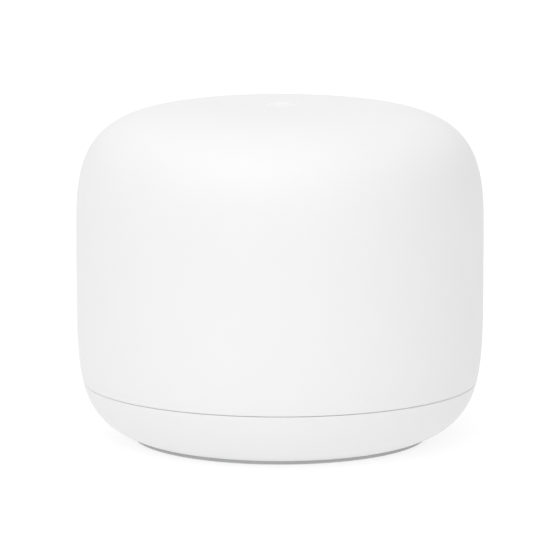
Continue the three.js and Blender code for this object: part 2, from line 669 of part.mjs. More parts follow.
const ANTENNA = { bottom: 28, thick: 0.5, air: 0.1 };
const SLOT = { side: 0.5, margin: 2, below: 6, above: 4 }; // the cut that tunes the antenna
const COAX_RADIUS = 0.55;
const COAX_STEPS = 14;
// A lead leaves the board beside its antenna and curves up behind it: each point is given by how far
// it is inside the antenna's lead, how many degrees beside it and how high above the board.
const LEAD_ROUTE = [
  { inside: 1, beside: 9, above: 0 },
  { inside: 0.6, beside: 7, above: 0.6 },
  { inside: 0, beside: 3, above: 3.5 },
  { inside: 0, beside: 0, above: 8 },
];
const LEAD_END = 4; // above the antenna's bottom

function addAntenna({ name, width, tall }, degrees) {
  const { bottom, thick } = ANTENNA;
  // The flat antenna lies against the inside of its panel; its corners set how far out it can be.
  const back = Math.sqrt(FRAME_INNER ** 2 - (width / 2) ** 2) - FIT - ANTENNA.air;
  const plate = block([back - thick, -width / 2, bottom], [back, width / 2, bottom + tall]);
  const slot = block(
    [back - 2 * thick, -SLOT.side, bottom + SLOT.below],
    [back + thick, width / 2 - SLOT.margin, bottom + tall - SLOT.above],
  );
  piece(name, cut(plate, slot), ANTENNA_FLEX, groupAt([0, 0, 0], degrees));

  const leadR = back - thick - COAX_RADIUS - FIT;
  const start = STAND_Z + COAX_RADIUS;
  const route = LEAD_ROUTE.map(({ inside, beside, above: rise }) =>
    polar(leadR - inside, degrees + beside, start + rise),
  );
  route.push(polar(leadR, degrees, bottom + LEAD_END));
  piece(`${name}_lead`, cable(route, COAX_RADIUS, COAX_STEPS), COAX);
}

// ---- Screws -------------------------------------------------------------------------------

const CASE_SCREW = { head: 2.3, headHeight: 1.6, shank: 1, length: 17, z: 2.5 };
const FRAME_SCREW = { head: 1.9, headHeight: 1.2, shank: 0.8, length: 3.4 };
const SCREW_FACETS = 12;
const POINT = { length: 0.8, share: 0.5 };
const DRIVE = { reach: 0.55, half: 0.3, depth: 0.6 }; // the cross, as shares of the head

/** A round-headed screw whose head is below, at z = 0, and whose shank points up. */
function screw({ head, headHeight, shank, length }) {
  const end = headHeight + length;
  const profile = [
    [0, 0],
    [head, 0],
    [head, headHeight],
    [shank, headHeight],
    [shank, end - POINT.length],
    [shank * POINT.share, end],
    [0, end],
  ];
  const reach = head * DRIVE.reach;
  const bar = block([-reach, -DRIVE.half, -1], [reach, DRIVE.half, headHeight * DRIVE.depth]);
  return geometryOf(cut(turned(profile, SCREW_FACETS), bar, bar.rotate([0, 0, 90])));
}

function addScrews() {
  const long = screw(CASE_SCREW);
  CASE_SCREWS.forEach(([x, y], index) => {
    piece(`case_screw_${index + 1}`, long, STEEL, groupAt([x, y, CASE_SCREW.z]));
  });
  const short = screw(FRAME_SCREW);
  const headZ = TAB_Z + FRAME_TAB_THICK + REST + FRAME_SCREW.headHeight;
  FRAME_TAB_DEGREES.forEach((degrees, index) => {
    const group = groupAt(polar(FRAME_SCREW_RADIUS, degrees, headZ));
    group.rotation.x = Math.PI;
    piece(`frame_screw_${index + 1}`, short, STEEL, group);
  });
}

// ---- Assembly -----------------------------------------------------------------------------

addUpperCover();
addLowerCover();
addFoot();
addBasePlate();
addPortBay();
for (const socket of SOCKETS) {
  if (socket.name === "power_jack") addPowerJack(socket);
  else addNetworkJack(socket);
}
addReset();
addMainBoard();
addBoardParts();
addStatusLight();
addHeatSink();
addAntennaFrame();
ANTENNAS.forEach((antenna, index) => addAntenna(antenna, antennaDegrees(index)));
addScrews();

export default router;
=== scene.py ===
"""Looks for the dome-shaped wireless router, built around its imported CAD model.

Shapes are worked out in millimetres and scaled to metres when a piece is made.
"""
import math

import bmesh
import bpy
import numpy as np
from mathutils import Matrix, Vector


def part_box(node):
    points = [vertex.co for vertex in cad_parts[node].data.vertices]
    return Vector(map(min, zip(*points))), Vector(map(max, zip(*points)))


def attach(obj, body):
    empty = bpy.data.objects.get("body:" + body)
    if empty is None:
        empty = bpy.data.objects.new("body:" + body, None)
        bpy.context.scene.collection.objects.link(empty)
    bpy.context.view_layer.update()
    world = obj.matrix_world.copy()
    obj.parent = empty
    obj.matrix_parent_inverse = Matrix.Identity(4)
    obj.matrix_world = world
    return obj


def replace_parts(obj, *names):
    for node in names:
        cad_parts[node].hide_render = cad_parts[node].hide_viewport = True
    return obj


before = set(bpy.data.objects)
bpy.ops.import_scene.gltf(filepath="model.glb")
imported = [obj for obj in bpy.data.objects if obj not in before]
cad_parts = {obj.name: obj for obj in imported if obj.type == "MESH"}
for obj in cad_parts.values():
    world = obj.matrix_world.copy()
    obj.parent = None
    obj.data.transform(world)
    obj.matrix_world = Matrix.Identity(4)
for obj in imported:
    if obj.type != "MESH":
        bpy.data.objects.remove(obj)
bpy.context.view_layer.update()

MM = 0.001

# ---- Sizes, in millimetres ----------------------------------------------------------------


def node_box(node):
    """Lowest corner, highest corner and middle of a CAD node, in millimetres."""
    low, high = (Vector(corner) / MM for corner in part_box(node))
    return low, high, (low + high) / 2


def places(node, count):
    """Where the numbered copies of a CAD node stand, as (x, y) pairs."""
    return [tuple(node_box(f"{node}_{k}")[2][:2]) for k in range(1, count + 1)]


RADIUS = node_box("upper_cover")[1].x
HEIGHT = node_box("upper_cover")[1].z
BELLY_Z = 51.7
DOME = {"end": HEIGHT, "along": 3.78, "out": 4.32}
BOWL = {"end": -1.72, "along": 5.41, "out": 4.53}

FAR = 60  # beyond every piece, for cutters
FIT = 0.3  # play between pieces that fit together
SHARP_DEG = 35
ROUND = 240  # facets around the large round pieces

WALL = 2.4
RIM_Z = node_box("lower_cover")[0].z
SEAM_Z = node_box("upper_cover")[0].z - 0.2  # middle of the groove between the covers
SEAM_GAP = 0.14
UPPER_EDGE_Z = SEAM_Z + SEAM_GAP / 2
LOWER_EDGE_Z = SEAM_Z - SEAM_GAP / 2
LIP = {"inner": 50.6, "outer": 51.6, "top": 18.0, "edge": 0.3, "inner_edge": 0.2}
MARK_RADIUS = 4.5
MARK_DEPTH = 0.35

# The snap fit between the covers: radial sections of (r, z) points, and where the hooks stand.
HOOK = [(48.8, 11.6), (50.8, 11.6), (50.8, 17.6), (50, 17.9), (50, 19.9)]
HOOK += [(51.2, 19.9), (51.2, 20.3), (50, 21.6), (48.8, 21.6)]
LEDGE = [(50.4, 18.8), (50.7, 18.6), (53.2, 18.6), (53.4, 19.6), (50.4, 19.6)]
HOOK_DEGREES = (30, 150, 195, 240, 300, 345)
HOOK_HALF = 4.0

BAY_HALF_WIDTH = 27.5
BAY_CEILING_Z = 13.9
BAY_CORNER = 3.0
BAY_WALL_Y = 34.5
BAY_THICK = 1.2
BASE_RADIUS = 38.1
FOOT_OUTER = node_box("foot_ring")[1].x
FOOT_TOP_Z = node_box("foot_ring")[1].z
FOOT_INNER = FOOT_OUTER - 9.2
FOOT_REAR_Y = node_box("foot_ring")[1].y
CASE_SCREWS = places("case_screw", 4)
FRAME_SCREWS = places("frame_screw", 3)


# ---- Mesh helpers -------------------------------------------------------------------------


def sharpened(obj, degrees=SHARP_DEG):
    """Shades an object smooth, except at its sharp edges."""
    obj.data.shade_smooth()
    obj.data.set_sharp_from_angle(angle=math.radians(degrees))
    return obj


def link_mesh(name, mesh, sharp_degrees=SHARP_DEG):
    """Links a mesh as an object with outward faces."""
    bm = bmesh.new()
    bm.from_mesh(mesh)
    bmesh.ops.recalc_face_normals(bm, faces=bm.faces)
    bm.to_mesh(mesh)
    bm.free()
    obj = bpy.data.objects.new(name, mesh)
    bpy.context.scene.collection.objects.link(obj)
    return sharpened(obj, sharp_degrees)


def make_object(name, vertices, faces, sharp_degrees=SHARP_DEG):
    """An object from vertices in millimetres."""
    mesh = bpy.data.meshes.new(name)
    mesh.from_pydata([tuple(c * MM for c in v) for v in vertices], [], faces)
    mesh.validate()
    return link_mesh(name, mesh, sharp_degrees)


def turned(name, profile, segments=128, sharp_degrees=SHARP_DEG):
    """Turns a closed profile of (r, z) points about Z. Points with r = 0 become poles."""
    vertices = []
    rings = []
    for r, z in profile:
        if r < 1e-6:
            rings.append([len(vertices)] * segments)
            vertices.append((0, 0, z))
            continue
        rings.append(list(range(len(vertices), len(vertices) + segments)))
        for k in range(segments):
            angle = 2 * math.pi * k / segments
            vertices.append((r * math.cos(angle), r * math.sin(angle), z))
    faces = []
    for ring, above in zip(rings, rings[1:] + rings[:1]):
        if ring[0] == ring[1] and above[0] == above[1]:
            continue
        for k in range(segments):
            n = (k + 1) % segments
            faces.append(list(dict.fromkeys([ring[k], ring[n], above[n], above[k]])))
    return make_object(name, vertices, faces, sharp_degrees)


def shifted(obj, x, y, z=0):
    """Moves an object's mesh by millimetres."""
    obj.data.transform(Matrix.Translation(Vector((x, y, z)) * MM))
    return obj


def spun(obj, degrees, axis="Z"):
    """Turns an object's mesh about an axis through the origin."""
    obj.data.transform(Matrix.Rotation(math.radians(degrees), 4, axis))
    return obj


def rectangle(a0, a1, b0, b1):
    return [(a0, b0), (a1, b0), (a1, b1), (a0, b1)]


def round_box(x0, x1, z0, z1, radius, steps=8):
    """A rectangle with round corners, as (x, z) points."""
    corners = [(x1 - radius, z1 - radius, 0), (x0 + radius, z1 - radius, 90)]
    corners += [(x0 + radius, z0 + radius, 180), (x1 - radius, z0 + radius, 270)]
    outline = []
    for cx, cz, start in corners:
        for k in range(steps + 1):
            angle = math.radians(start + 90 * k / steps)
            outline.append((cx + radius * math.cos(angle), cz + radius * math.sin(angle)))
    return outline


def prism(name, outline, y0, y1):
    """Extrudes an outline of (x, z) points along Y."""
    count = len(outline)
    vertices = [(x, y0, z) for x, z in outline] + [(x, y1, z) for x, z in outline]
    faces = [list(range(count)), list(range(2 * count - 1, count - 1, -1))]
    for k in range(count):
        n = (k + 1) % count
        faces.append([k, k + count, n + count, n])
    return make_object(name, vertices, faces)


def standing_prism(name, outline, z0, z1):
    """Extrudes an outline of (x, y) points along Z."""
    obj = prism(name, outline, z0, z1)
    obj.data.transform(Matrix(((1, 0, 0, 0), (0, 0, 1, 0), (0, 1, 0, 0), (0, 0, 0, 1))))
    obj.data.flip_normals()
    return obj


def block(name, low, high):
    return prism(name, rectangle(low[0], high[0], low[2], high[2]), low[1], high[1])


def upright(name, x, y, radius, z0, z1, segments=40):
    """An upright round bar."""
    return shifted(turned(name, rectangle(0, radius, z0, z1), segments), x, y)


def apply_modifiers(obj):
    """Replaces the object's mesh by the result of its modifiers."""
    bpy.context.view_layer.update()
    evaluated = obj.evaluated_get(bpy.context.evaluated_depsgraph_get())
    mesh = bpy.data.meshes.new_from_object(evaluated)
    obj.modifiers.clear()
    old = obj.data
    obj.data = mesh
    bpy.data.meshes.remove(old)


def boolean(obj, operation, tools):
    """Uses up each tool in turn on an object."""
    for tool in tools:
        modifier = obj.modifiers.new("boolean", "BOOLEAN")
        modifier.operation = operation
        modifier.solver = "EXACT"
        modifier.object = tool
        apply_modifiers(obj)
        bpy.data.objects.remove(tool)
    return obj


def cut(obj, *tools):
    return boolean(obj, "DIFFERENCE", tools)


def join(obj, *tools):
    return boolean(obj, "UNION", tools)


def clip(obj, *tools):
    return boolean(obj, "INTERSECT", tools)


def gathered(objects, sharp_degrees=40):
    """The first object with the other objects' meshes added to it."""
    obj, *others = objects
    bm = bmesh.new()
    bm.from_mesh(obj.data)
    for other in others:
        bm.from_mesh(other.data)
        bpy.data.objects.remove(other)
    bm.to_mesh(obj.data)
    bm.free()
    return sharpened(obj, sharp_degrees)


def soften(obj, width, segments=3, degrees=SHARP_DEG):
    """Rounds the sharp edges and keeps the flats flat."""
    bevel = obj.modifiers.new("bevel", "BEVEL")
    bevel.width = width * MM
    bevel.segments = segments
    bevel.limit_method = "ANGLE"
    bevel.angle_limit = math.radians(degrees)
    bevel.harden_normals = False
    apply_modifiers(obj)
    obj.data.shade_smooth()
    obj.modifiers.new("weighted", "WEIGHTED_NORMAL").keep_sharp = True
    apply_modifiers(obj)
    return obj


def mark_faces(obj, index):
    """Gives all faces of an object the material of that number."""
    for face in obj.data.polygons:
        face.material_index = index
    return obj


def finish_piece(obj, node, slot, *materials, body="housing"):
    """Puts the materials on a piece in the order of its faces' numbers, for a CAD node."""
    numbers = [face.material_index for face in obj.data.polygons]
    obj.data.materials.clear()
    for material in materials:
        obj.data.materials.append(material)
    obj.data.polygons.foreach_set("material_index", numbers)
    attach(obj, body)
    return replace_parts(obj, node)


# ---- The case's profile -------------------------------------------------------------------


def arc_points(arc, inset=0.0, count=1500):
    """One arc from its pole to the belly, as dense (r, z) points set back by an inset."""
    turn = np.linspace(1e-4, math.pi / 2, count)
    rise = arc["end"] - BELLY_Z
    share = np.cos(turn) ** (2 / arc["along"])
    reach = np.sin(turn) ** (2 / arc["out"])
    slope_r = arc["out"] * reach ** (arc["out"] - 1) / RADIUS
    slope_z = arc["along"] * share ** (arc["along"] - 1) / rise
    length = np.hypot(slope_r, slope_z)
    r = np.maximum(0, RADIUS * reach - inset * slope_r / length)
    z = BELLY_Z + rise * share - inset * slope_z / length
    return np.column_stack([r, z])


def case_profile(inset=0.0):
    """The whole profile from the bottom pole to the top pole."""
    return np.vstack([arc_points(BOWL, inset), arc_points(DOME, inset)[::-1][1:]])


OUTER = case_profile()
INNER = case_profile(WALL)
SPLIT = len(OUTER) // 2  # the belly's place in both lists


def radius_at(profile, z):
    """Radius of the profile at a height below the belly."""
    bowl = profile[:SPLIT]
    return float(np.interp(z, bowl[:, 1], bowl[:, 0]))


def evenly(points, step):
    """Points spaced evenly along a path."""
    gaps = np.hypot(*np.diff(points, axis=0).T)
    along = np.concatenate([[0], np.cumsum(gaps)])
    wanted = np.linspace(0, along[-1], max(2, int(round(along[-1] / step)) + 1))
    return np.column_stack([np.interp(wanted, along, points[:, k]) for k in range(2)])


def fillet(start, corner, end, radius, steps=4):
    """Points of a round that replaces the corner between two directions."""
    corner = Vector(corner)
    to_start = (Vector(start) - corner).normalized()
    to_end = (Vector(end) - corner).normalized()
    half = to_start.angle(to_end) / 2
    run = radius / math.tan(half)
    centre = corner + (to_start + to_end).normalized() * (radius / math.sin(half))
    first = corner + to_start * run - centre
    last = corner + to_end * run - centre
    sweep = first.angle_signed(last)
    turns = [Matrix.Rotation(-sweep * k / steps, 2) for k in range(steps + 1)]
    return [tuple(centre + turn @ first) for turn in turns]


def revolved_skin(name, inset):
    """A smooth solid of the lower half of the case, set back by an inset."""
    profile = evenly(case_profile(inset)[:SPLIT], 0.8)
    points = [(0.0, profile[0][1])] + [tuple(p) for p in profile[1:]]
    return turned(name, points + [(0.0, points[-1][1])], ROUND)


# ---- Covers -------------------------------------------------------------------------------


def mark_depth(r):
    """Depth of the shallow dish on top of the dome, with a soft round edge."""
    edge = 0.5
    share = min(1, max(0, (MARK_RADIUS + edge / 2 - r) / edge))
    return MARK_DEPTH * share * share * (3 - 2 * share)


def around(section):
    """Copies of a radial section, as bars facing each hook's angle."""
    bars = [spun(prism("bar", section, -HOOK_HALF, HOOK_HALF), turn) for turn in HOOK_DEGREES]
    return gathered(bars)


def build_upper_cover():
    """The dome, with its dished mark, a rebate for the lip and a ledge for each hook."""
    edge = (radius_at(OUTER, UPPER_EDGE_Z), UPPER_EDGE_Z)
    above_edge = (radius_at(OUTER, UPPER_EDGE_Z + 2), UPPER_EDGE_Z + 2)
    rebate_r = LIP["outer"] + FIT
    rebate_z = LIP["top"] + FIT
    round_r, chamfer = 0.12, 0.15
    turn_in = fillet(above_edge, edge, (rebate_r, UPPER_EDGE_Z), round_r)

    fine_r = 9  # closer rings from here in to the mark
    skin = evenly(OUTER[OUTER[:, 1] > turn_in[0][1] + 0.2], 1.3)
    outside = [tuple(p) for p in skin if p[0] >= fine_r]
    crown_r, crown_z = OUTER[SPLIT:].T
    for r in np.linspace(fine_r - 0.2, 0, 45):
        outside.append((r, np.interp(-r, -crown_r, crown_z) - mark_depth(r)))
    outside[-1] = (0.0, crown_z[-1] - MARK_DEPTH)

    lining = evenly(INNER[INNER[:, 1] > rebate_z + 0.3], 2.5)[::-1]
    inside = [(0.0, lining[0][1])] + [tuple(p) for p in lining[1:]]
    inside += [(radius_at(INNER, rebate_z), rebate_z), (rebate_r, rebate_z)]
    inside += [(rebate_r, UPPER_EDGE_Z + chamfer), (rebate_r + chamfer, UPPER_EDGE_Z)]
    shell = turned("upper_cover_shell", outside + inside + turn_in[::-1], ROUND)
    return sharpened(join(shell, around(LEDGE)))


def opening_distance(x, z, grow):
    """Distance from a point to the outline of the cable bay's opening, negative inside it."""
    corner = BAY_CORNER + grow
    qx = abs(x) - (BAY_HALF_WIDTH + grow - corner)
    qz = z - (BAY_CEILING_Z + grow - corner)
    return math.hypot(max(qx, 0), max(qz, 0)) + min(max(qx, qz), 0) - corner


def lower_profile_rows(soft):
    """The lower cover's section as rows of (r, z), counted from the rim up the outside.

    Outer and inner rows pair up, so that the walls of the opening can join them.
    """
    top_z = BAY_CEILING_Z + soft
    edge_z = LOWER_EDGE_Z - 0.4
    levels = evenly(OUTER[(OUTER[:, 1] > RIM_Z) & (OUTER[:, 1] < top_z)], 0.5)[:, 1]
    levels[0] = RIM_Z
    levels[-1] = top_z
    levels = np.concatenate([levels, np.linspace(top_z, edge_z, 3)[1:]])
    outer = [(radius_at(OUTER, z), z) for z in levels]

    lift = 2.25  # the inner wall starts this much above the rim
    meet = 9.0  # and is level with the outer wall from here up
    inner_levels = np.where(
        levels < meet, meet - (meet - levels) * (meet - RIM_Z - lift) / (meet - RIM_Z), levels
    )
    inner = [(radius_at(INNER, z), z) for z in inner_levels]

    corner = (radius_at(OUTER, LOWER_EDGE_Z), LOWER_EDGE_Z)
    crest = fillet(outer[-1], corner, (LIP["outer"], LOWER_EDGE_Z), 0.32)
    edge, inner_edge = LIP["edge"], LIP["inner_edge"]
    lip = [(LIP["outer"], LOWER_EDGE_Z), (LIP["outer"], LIP["top"] - edge)]
    lip += [(LIP["outer"] - edge, LIP["top"]), (LIP["inner"] + inner_edge, LIP["top"])]
    lip += [(LIP["inner"], LIP["top"] - inner_edge), (LIP["inner"], edge_z)]
    seat_r, seat_z, chamfer = BASE_RADIUS + FIT, RIM_Z + 2.0, 0.2
    rim = [(seat_r, seat_z), (seat_r, RIM_Z + chamfer), (seat_r + chamfer, RIM_Z)]
    return outer, crest + lip, inner[::-1], rim


def build_lower_cover():
    """The bowl, with a rounded opening at the back for the cables, and its hooks."""
    soft = 0.3
    outer, crest, inner, rim = lower_profile_rows(soft)
    rows = outer + crest + inner + rim
    side_x = BAY_HALF_WIDTH + soft

    back_columns = np.linspace(0, 1, 61)
    front_columns = np.linspace(0, 1, 151)[1:]

    def angles(r):
        """Column angles from the back, so that one column runs up each side of the opening."""
        side = math.asin(side_x / r)
        half = list(np.arcsin(back_columns * side_x / r))
        half += list(side + front_columns * (math.pi - side))
        return half + [-a for a in half[-2:0:-1]]

    points = np.array([[[r * math.sin(a), r * math.cos(a), z] for a in angles(r)] for r, z in rows])
    row_count, column_count = points.shape[:2]

    following_row = np.roll(points, -1, axis=0)
    centres = (points + following_row + np.roll(points, -1, 1) + np.roll(following_row, -1, 1)) / 4
    removed = np.zeros((row_count, column_count), bool)
    for i in range(row_count):
        for j in range(column_count):
            x, y, z = centres[i, j]
            removed[i, j] = y > 0 and opening_distance(x, z, soft) < 0

    def touches(i, j, state):
        cells = [(i, j), (i - 1, j), (i, j - 1), (i - 1, j - 1)]
        return any(removed[a % row_count, b % column_count] == state for a, b in cells)

    # Vertices around the opening's round corners slide onto the true outline.
    corner = BAY_CORNER + soft
    centre_x = side_x - corner
    centre_z = BAY_CEILING_Z + soft - corner
    inner_start = len(outer) + len(crest)
    inner_end = inner_start + len(inner)
    for i in list(range(len(outer))) + list(range(inner_start, inner_end)):
        profile = OUTER if i < len(outer) else INNER
        for j in range(column_count):
            x, y, z = points[i, j]
            if y < 0 or not (touches(i, j, True) and touches(i, j, False)):
                continue
            away = Vector((abs(x) - centre_x, z - centre_z))
            if away.x > 1e-6 and away.y > 1e-6:
                away = away.normalized() * corner
                new_x = centre_x + away.x
                new_z = centre_z + away.y
                r = radius_at(profile, new_z)
                points[i, j] = (math.copysign(new_x, x), math.sqrt(r * r - new_x**2), new_z)

    vertices = [tuple(p) for p in points.reshape(-1, 3)]
    index = np.arange(row_count * column_count).reshape(row_count, column_count)
    faces = []
    used = set()
    for i in range(row_count):
        for j in range(column_count):
            if not removed[i, j]:
                k, n = (i + 1) % row_count, (j + 1) % column_count
                quad = [int(index[i, j]), int(index[i, n]), int(index[k, n]), int(index[k, j])]
                faces.append(quad)
                used.update(quad)

    # The opening's walls: each boundary vertex outside is joined to its partner inside.
    strips = {}

    def strip(i, j):
        if (i, j) in strips:
            return strips[i, j]
        partner = inner_end - 1 - i
        start = Vector(points[i, j])
        end = Vector(points[partner, j])
        x, z = start.x, start.z
        step = 0.01
        away = Vector((
            opening_distance(x + step, z, soft) - opening_distance(x - step, z, soft),
            0,
            opening_distance(x, z + step, soft) - opening_distance(x, z - step, soft),
        ))
        into = -away.normalized()
        depth = (end - start).normalized()
        chain = [int(index[i, j])]
        turns = [math.radians(90 * k / 4) for k in range(1, 5)]
        near = [start + soft * (math.sin(a) * into + (1 - math.cos(a)) * depth) for a in turns]
        far = [end + soft * (math.sin(a) * into - (1 - math.cos(a)) * depth) for a in turns]
        for point in near + far[::-1]:
            chain.append(len(vertices))
            vertices.append(tuple(point))
        chain.append(int(index[partner, j]))
        strips[i, j] = chain
        return chain

    for i in range(len(outer) - 1):
        for j in range(column_count):
            edges = []
            if removed[i, j] != removed[i, j - 1]:
                edges.append(((i, j), (i + 1, j)))
            if removed[i, j] != removed[i + 1, j]:
                edges.append(((i + 1, j), (i + 1, (j + 1) % column_count)))
            for a, b in edges:
                one, other = strip(*a), strip(*b)
                faces += [list(quad) for quad in zip(one, one[1:], other[1:], other)]
                used.update(one + other)

    kept = sorted(used)
    renumber = {old: new for new, old in enumerate(kept)}
    kept_faces = [[renumber[k] for k in face] for face in faces]
    obj = make_object("lower_cover_shell", [vertices[k] for k in kept], kept_faces)
    bm = bmesh.new()
    bm.from_mesh(obj.data)
    bmesh.ops.holes_fill(bm, edges=[e for e in bm.edges if e.is_boundary], sides=0)
    bmesh.ops.recalc_face_normals(bm, faces=bm.faces)
    bm.to_mesh(obj.data)
    bm.free()
    return sharpened(join(obj, clip(around(HOOK), revolved_skin("inside", WALL - 0.2))))


# ---- Foot, base plate and cable bay -------------------------------------------------------

PLATE = {
    "top": 5.0,
    "floor": RIM_Z + 2.0,
    "wall": 2.0,
    "flange": 4.3,
    "flange_thick": 1.2,
    "root": RIM_Z + 0.5,  # where what stands on the plate starts, inside its floor
    "post": 4.0,
    "bore": 1.35,
    "counterbore": 2.7,
    "counterbore_top": 4.2,
    "guide": 5.6,
    "guide_top": 6.0,
    "button_way": 3.3,
    "flange_way": 4.5,
    "socket_seat": RIM_Z + 0.8,
    "socket_row_half": 23.2,
}
LABEL = {"half": 15, "front": -25, "rear": -7, "corner": 2, "depth": 0.3}


def build_foot_ring():
    """The soft ring, with three fine grip grooves in the face that it stands on."""
    round_r = 0.3
    pitch, depth, half = 2.2, 0.18, 0.22  # of the grooves
    middle = (FOOT_INNER + FOOT_OUTER) / 2
    profile = [(FOOT_INNER, FOOT_TOP_Z), (FOOT_INNER, round_r)]
    profile += fillet((FOOT_INNER, FOOT_TOP_Z), (FOOT_INNER, 0), (middle, 0), round_r)[1:]
    for k in (-1, 0, 1):
        centre = middle + k * pitch
        profile += [(centre - half, 0), (centre - half / 2, depth)]
        profile += [(centre + half / 2, depth), (centre + half, 0)]
    profile += fillet((middle, 0), (FOOT_OUTER, 0), (FOOT_OUTER, FOOT_TOP_Z), round_r)
    ring = turned("foot_ring_soft", profile + [(FOOT_OUTER, FOOT_TOP_Z)], ROUND)
    cut(ring, block("behind", (-FAR, FOOT_REAR_Y, -FAR), (FAR, FAR, FAR)))
    return soften(ring, 0.12, 2, 50)


def build_base_plate():
    """The underside plate: the disc, its posts and, behind, a tongue that follows the bowl."""
    high = node_box("base_plate")[1]
    half = BAY_HALF_WIDTH - FIT
    side = math.atan2(math.sqrt(BASE_RADIUS**2 - half**2), half)
    turns = [math.pi - side + k * (math.pi + 2 * side) / 90 for k in range(91)]
    outline = [(BASE_RADIUS * math.cos(a), BASE_RADIUS * math.sin(a)) for a in turns]
    outline += [(half, high.y), (-half, high.y)]
    plate = standing_prism("base_plate_moulding", outline, RIM_Z, PLATE["top"])
    clip(plate, revolved_skin("under_form", 0))
    hollow = rectangle(0, BASE_RADIUS - PLATE["wall"], PLATE["floor"], FAR)
    cut(plate, turned("hollow", hollow, 96))

    thick = PLATE["flange_thick"]
    flange = rectangle(BASE_RADIUS - thick, high.x, PLATE["flange"], PLATE["flange"] + thick)
    join(plate, turned("flange", flange, 160))
    for x, y in CASE_SCREWS:
        join(plate, upright("post", x, y, PLATE["post"], PLATE["root"], high.z))
    x, y, _ = node_box("reset_button")[2]
    join(plate, upright("guide", x, y, PLATE["guide"], PLATE["root"], PLATE["guide_top"]))

    row_half = PLATE["socket_row_half"]
    row_front = node_box("lan_jack_shield")[0].y - 0.5
    cut(plate, block("row", (-row_half, row_front, PLATE["socket_seat"]), (row_half, FAR, FAR)))
    cut(plate, block("bay", (-FAR, high.y, -FAR), (FAR, FAR, FAR)))
    for screw in CASE_SCREWS:
        cut(plate, upright("bore", *screw, PLATE["bore"], -FAR, FAR))
        cut(plate, upright("head", *screw, PLATE["counterbore"], -FAR, PLATE["counterbore_top"]))
    cut(plate, upright("button_way", x, y, PLATE["button_way"], -FAR, FAR, 64))
    cut(plate, upright("flange_way", x, y, PLATE["flange_way"], PLATE["floor"], FAR, 64))
    label = round_box(-LABEL["half"], LABEL["half"], LABEL["front"], LABEL["rear"], LABEL["corner"])
    cut(plate, standing_prism("label", label, -FAR, RIM_Z + LABEL["depth"]))
    return soften(plate, 0.2, 3, 40)


def build_port_bay():
    """The pocket behind: its wall with a window for each socket, its ceiling and its sides."""
    half = BAY_HALF_WIDTH
    corner, window_corner = 1.2, 0.6
    front = BAY_WALL_Y - BAY_THICK
    top = node_box("port_bay")[1].z
    bay = block("port_bay_moulding", (-half - 1, front, 0), (half + 1, FAR, top))
    hollow = round_box(-half, half, -FAR, BAY_CEILING_Z, corner)
    cut(bay, prism("hollow", hollow, BAY_WALL_Y, 2 * FAR))
    clip(bay, revolved_skin("inside_covers", WALL + FIT))
    cut(bay, turned("lip_way", rectangle(LIP["inner"] - FIT, 2 * FAR, -FAR, FAR), ROUND))
    wall = block("wall", (-half + FIT, front, RIM_Z + 0.1), (half - FIT, BAY_WALL_Y, top - 0.5))
    join(bay, clip(wall, revolved_skin("flush", 0.1)))
    for jack in ("lan_jack_shield", "wan_jack_shield", "power_jack_body"):
        low, high, _ = node_box(jack)
        window = round_box(low.x - FIT, high.x + FIT, low.z - FIT, high.z + FIT, window_corner)
        cut(bay, prism("window", window, front - 2, BAY_WALL_Y + 2))
    return soften(bay, 0.25, 3, 40)


# ---- Sockets ------------------------------------------------------------------------------

PLUG = {"width": 11.9, "height": 7.0, "top": 1.45, "depth": 12.0}
LATCH_STEPS = [(3.1, 1.5), (1.75, 2.4)]  # half width of each step, and how far its floor drops
SHEET = 0.4
CONTACT_COUNT = 8
CONTACT_PITCH = 1.02
CONTACT_RADIUS = 0.19
CONTACT_BENDS = [  # (y, z) from the upper edge of the socket's face
    (-10.2, -0.7),
    (-10.25, -1.9),
    (-9.9, -2.8),
    (-9.0, -3.2),
    (-5.5, -2.7),
    (-2.6, -2.0),
    (-1.9, -1.7),
]
WELL = {"radius": 3.2, "depth": 10, "chamfer": 0.5, "pin_way": 1.15, "pin_depth": 14}
LEAF_BENDS = [(0, 0), (0.25, 0.05), (0.45, 0.35), (0.6, 0.35), (0.75, 0.05), (1, 0)]


def contact_places(x):
    return [x + (k - (CONTACT_COUNT - 1) / 2) * CONTACT_PITCH for k in range(CONTACT_COUNT)]


def keyhole(x, top_z, grow, radius=0.25):
    """The outline of an eight-pin socket: plug room, then the two steps of its latch."""
    half = PLUG["width"] / 2 + grow
    top = top_z - PLUG["top"] + grow
    floor = top_z - PLUG["top"] - PLUG["height"] - grow
    widths = [half] + [step_half + grow for step_half, _ in LATCH_STEPS]
    floors = [floor] + [floor - drop for _, drop in LATCH_STEPS]
    right = [(half, top)]
    for width, level, following in zip(widths, floors, widths[1:] + [0]):
        right += [(width, level), (following, level)]
    right = right[:-1]
    corners = right + [(-px, pz) for px, pz in right[::-1]]
    outline = []
    for k, corner in enumerate(corners):
        outline += fillet(corners[k - 1], corner, corners[(k + 1) % len(corners)], radius, 3)
    return [(x + px, pz) for px, pz in outline]


def build_jack_shield(name):
    """The folded metal can around a network socket."""
    low, high, middle = node_box(f"{name}_shield")
    can = soften(block(f"{name}_shield_can", low, high), 0.5, 4)
    inside_low = low + Vector((SHEET, -1, SHEET))
    cut(can, block("inside", inside_low, high - Vector((SHEET, SHEET, SHEET))))
    cut(can, prism("mouth", keyhole(middle.x, high.z, 0.25), high.y - 2, high.y + 2))
    slot_half, slot_reach, slot_depth = 0.25, 2.2, 0.25
    slot_z = (low.z + high.z) / 2
    for side in (-1, 1):
        x = middle.x + side * (PLUG["width"] / 2 + 1.15)
        slot = round_box(x - slot_half, x + slot_half, slot_z - slot_reach, slot_z + slot_reach, 0.24)
        cut(can, prism("slot", slot, high.y - slot_depth, high.y + 2))
    return soften(can, 0.1, 2, 50)


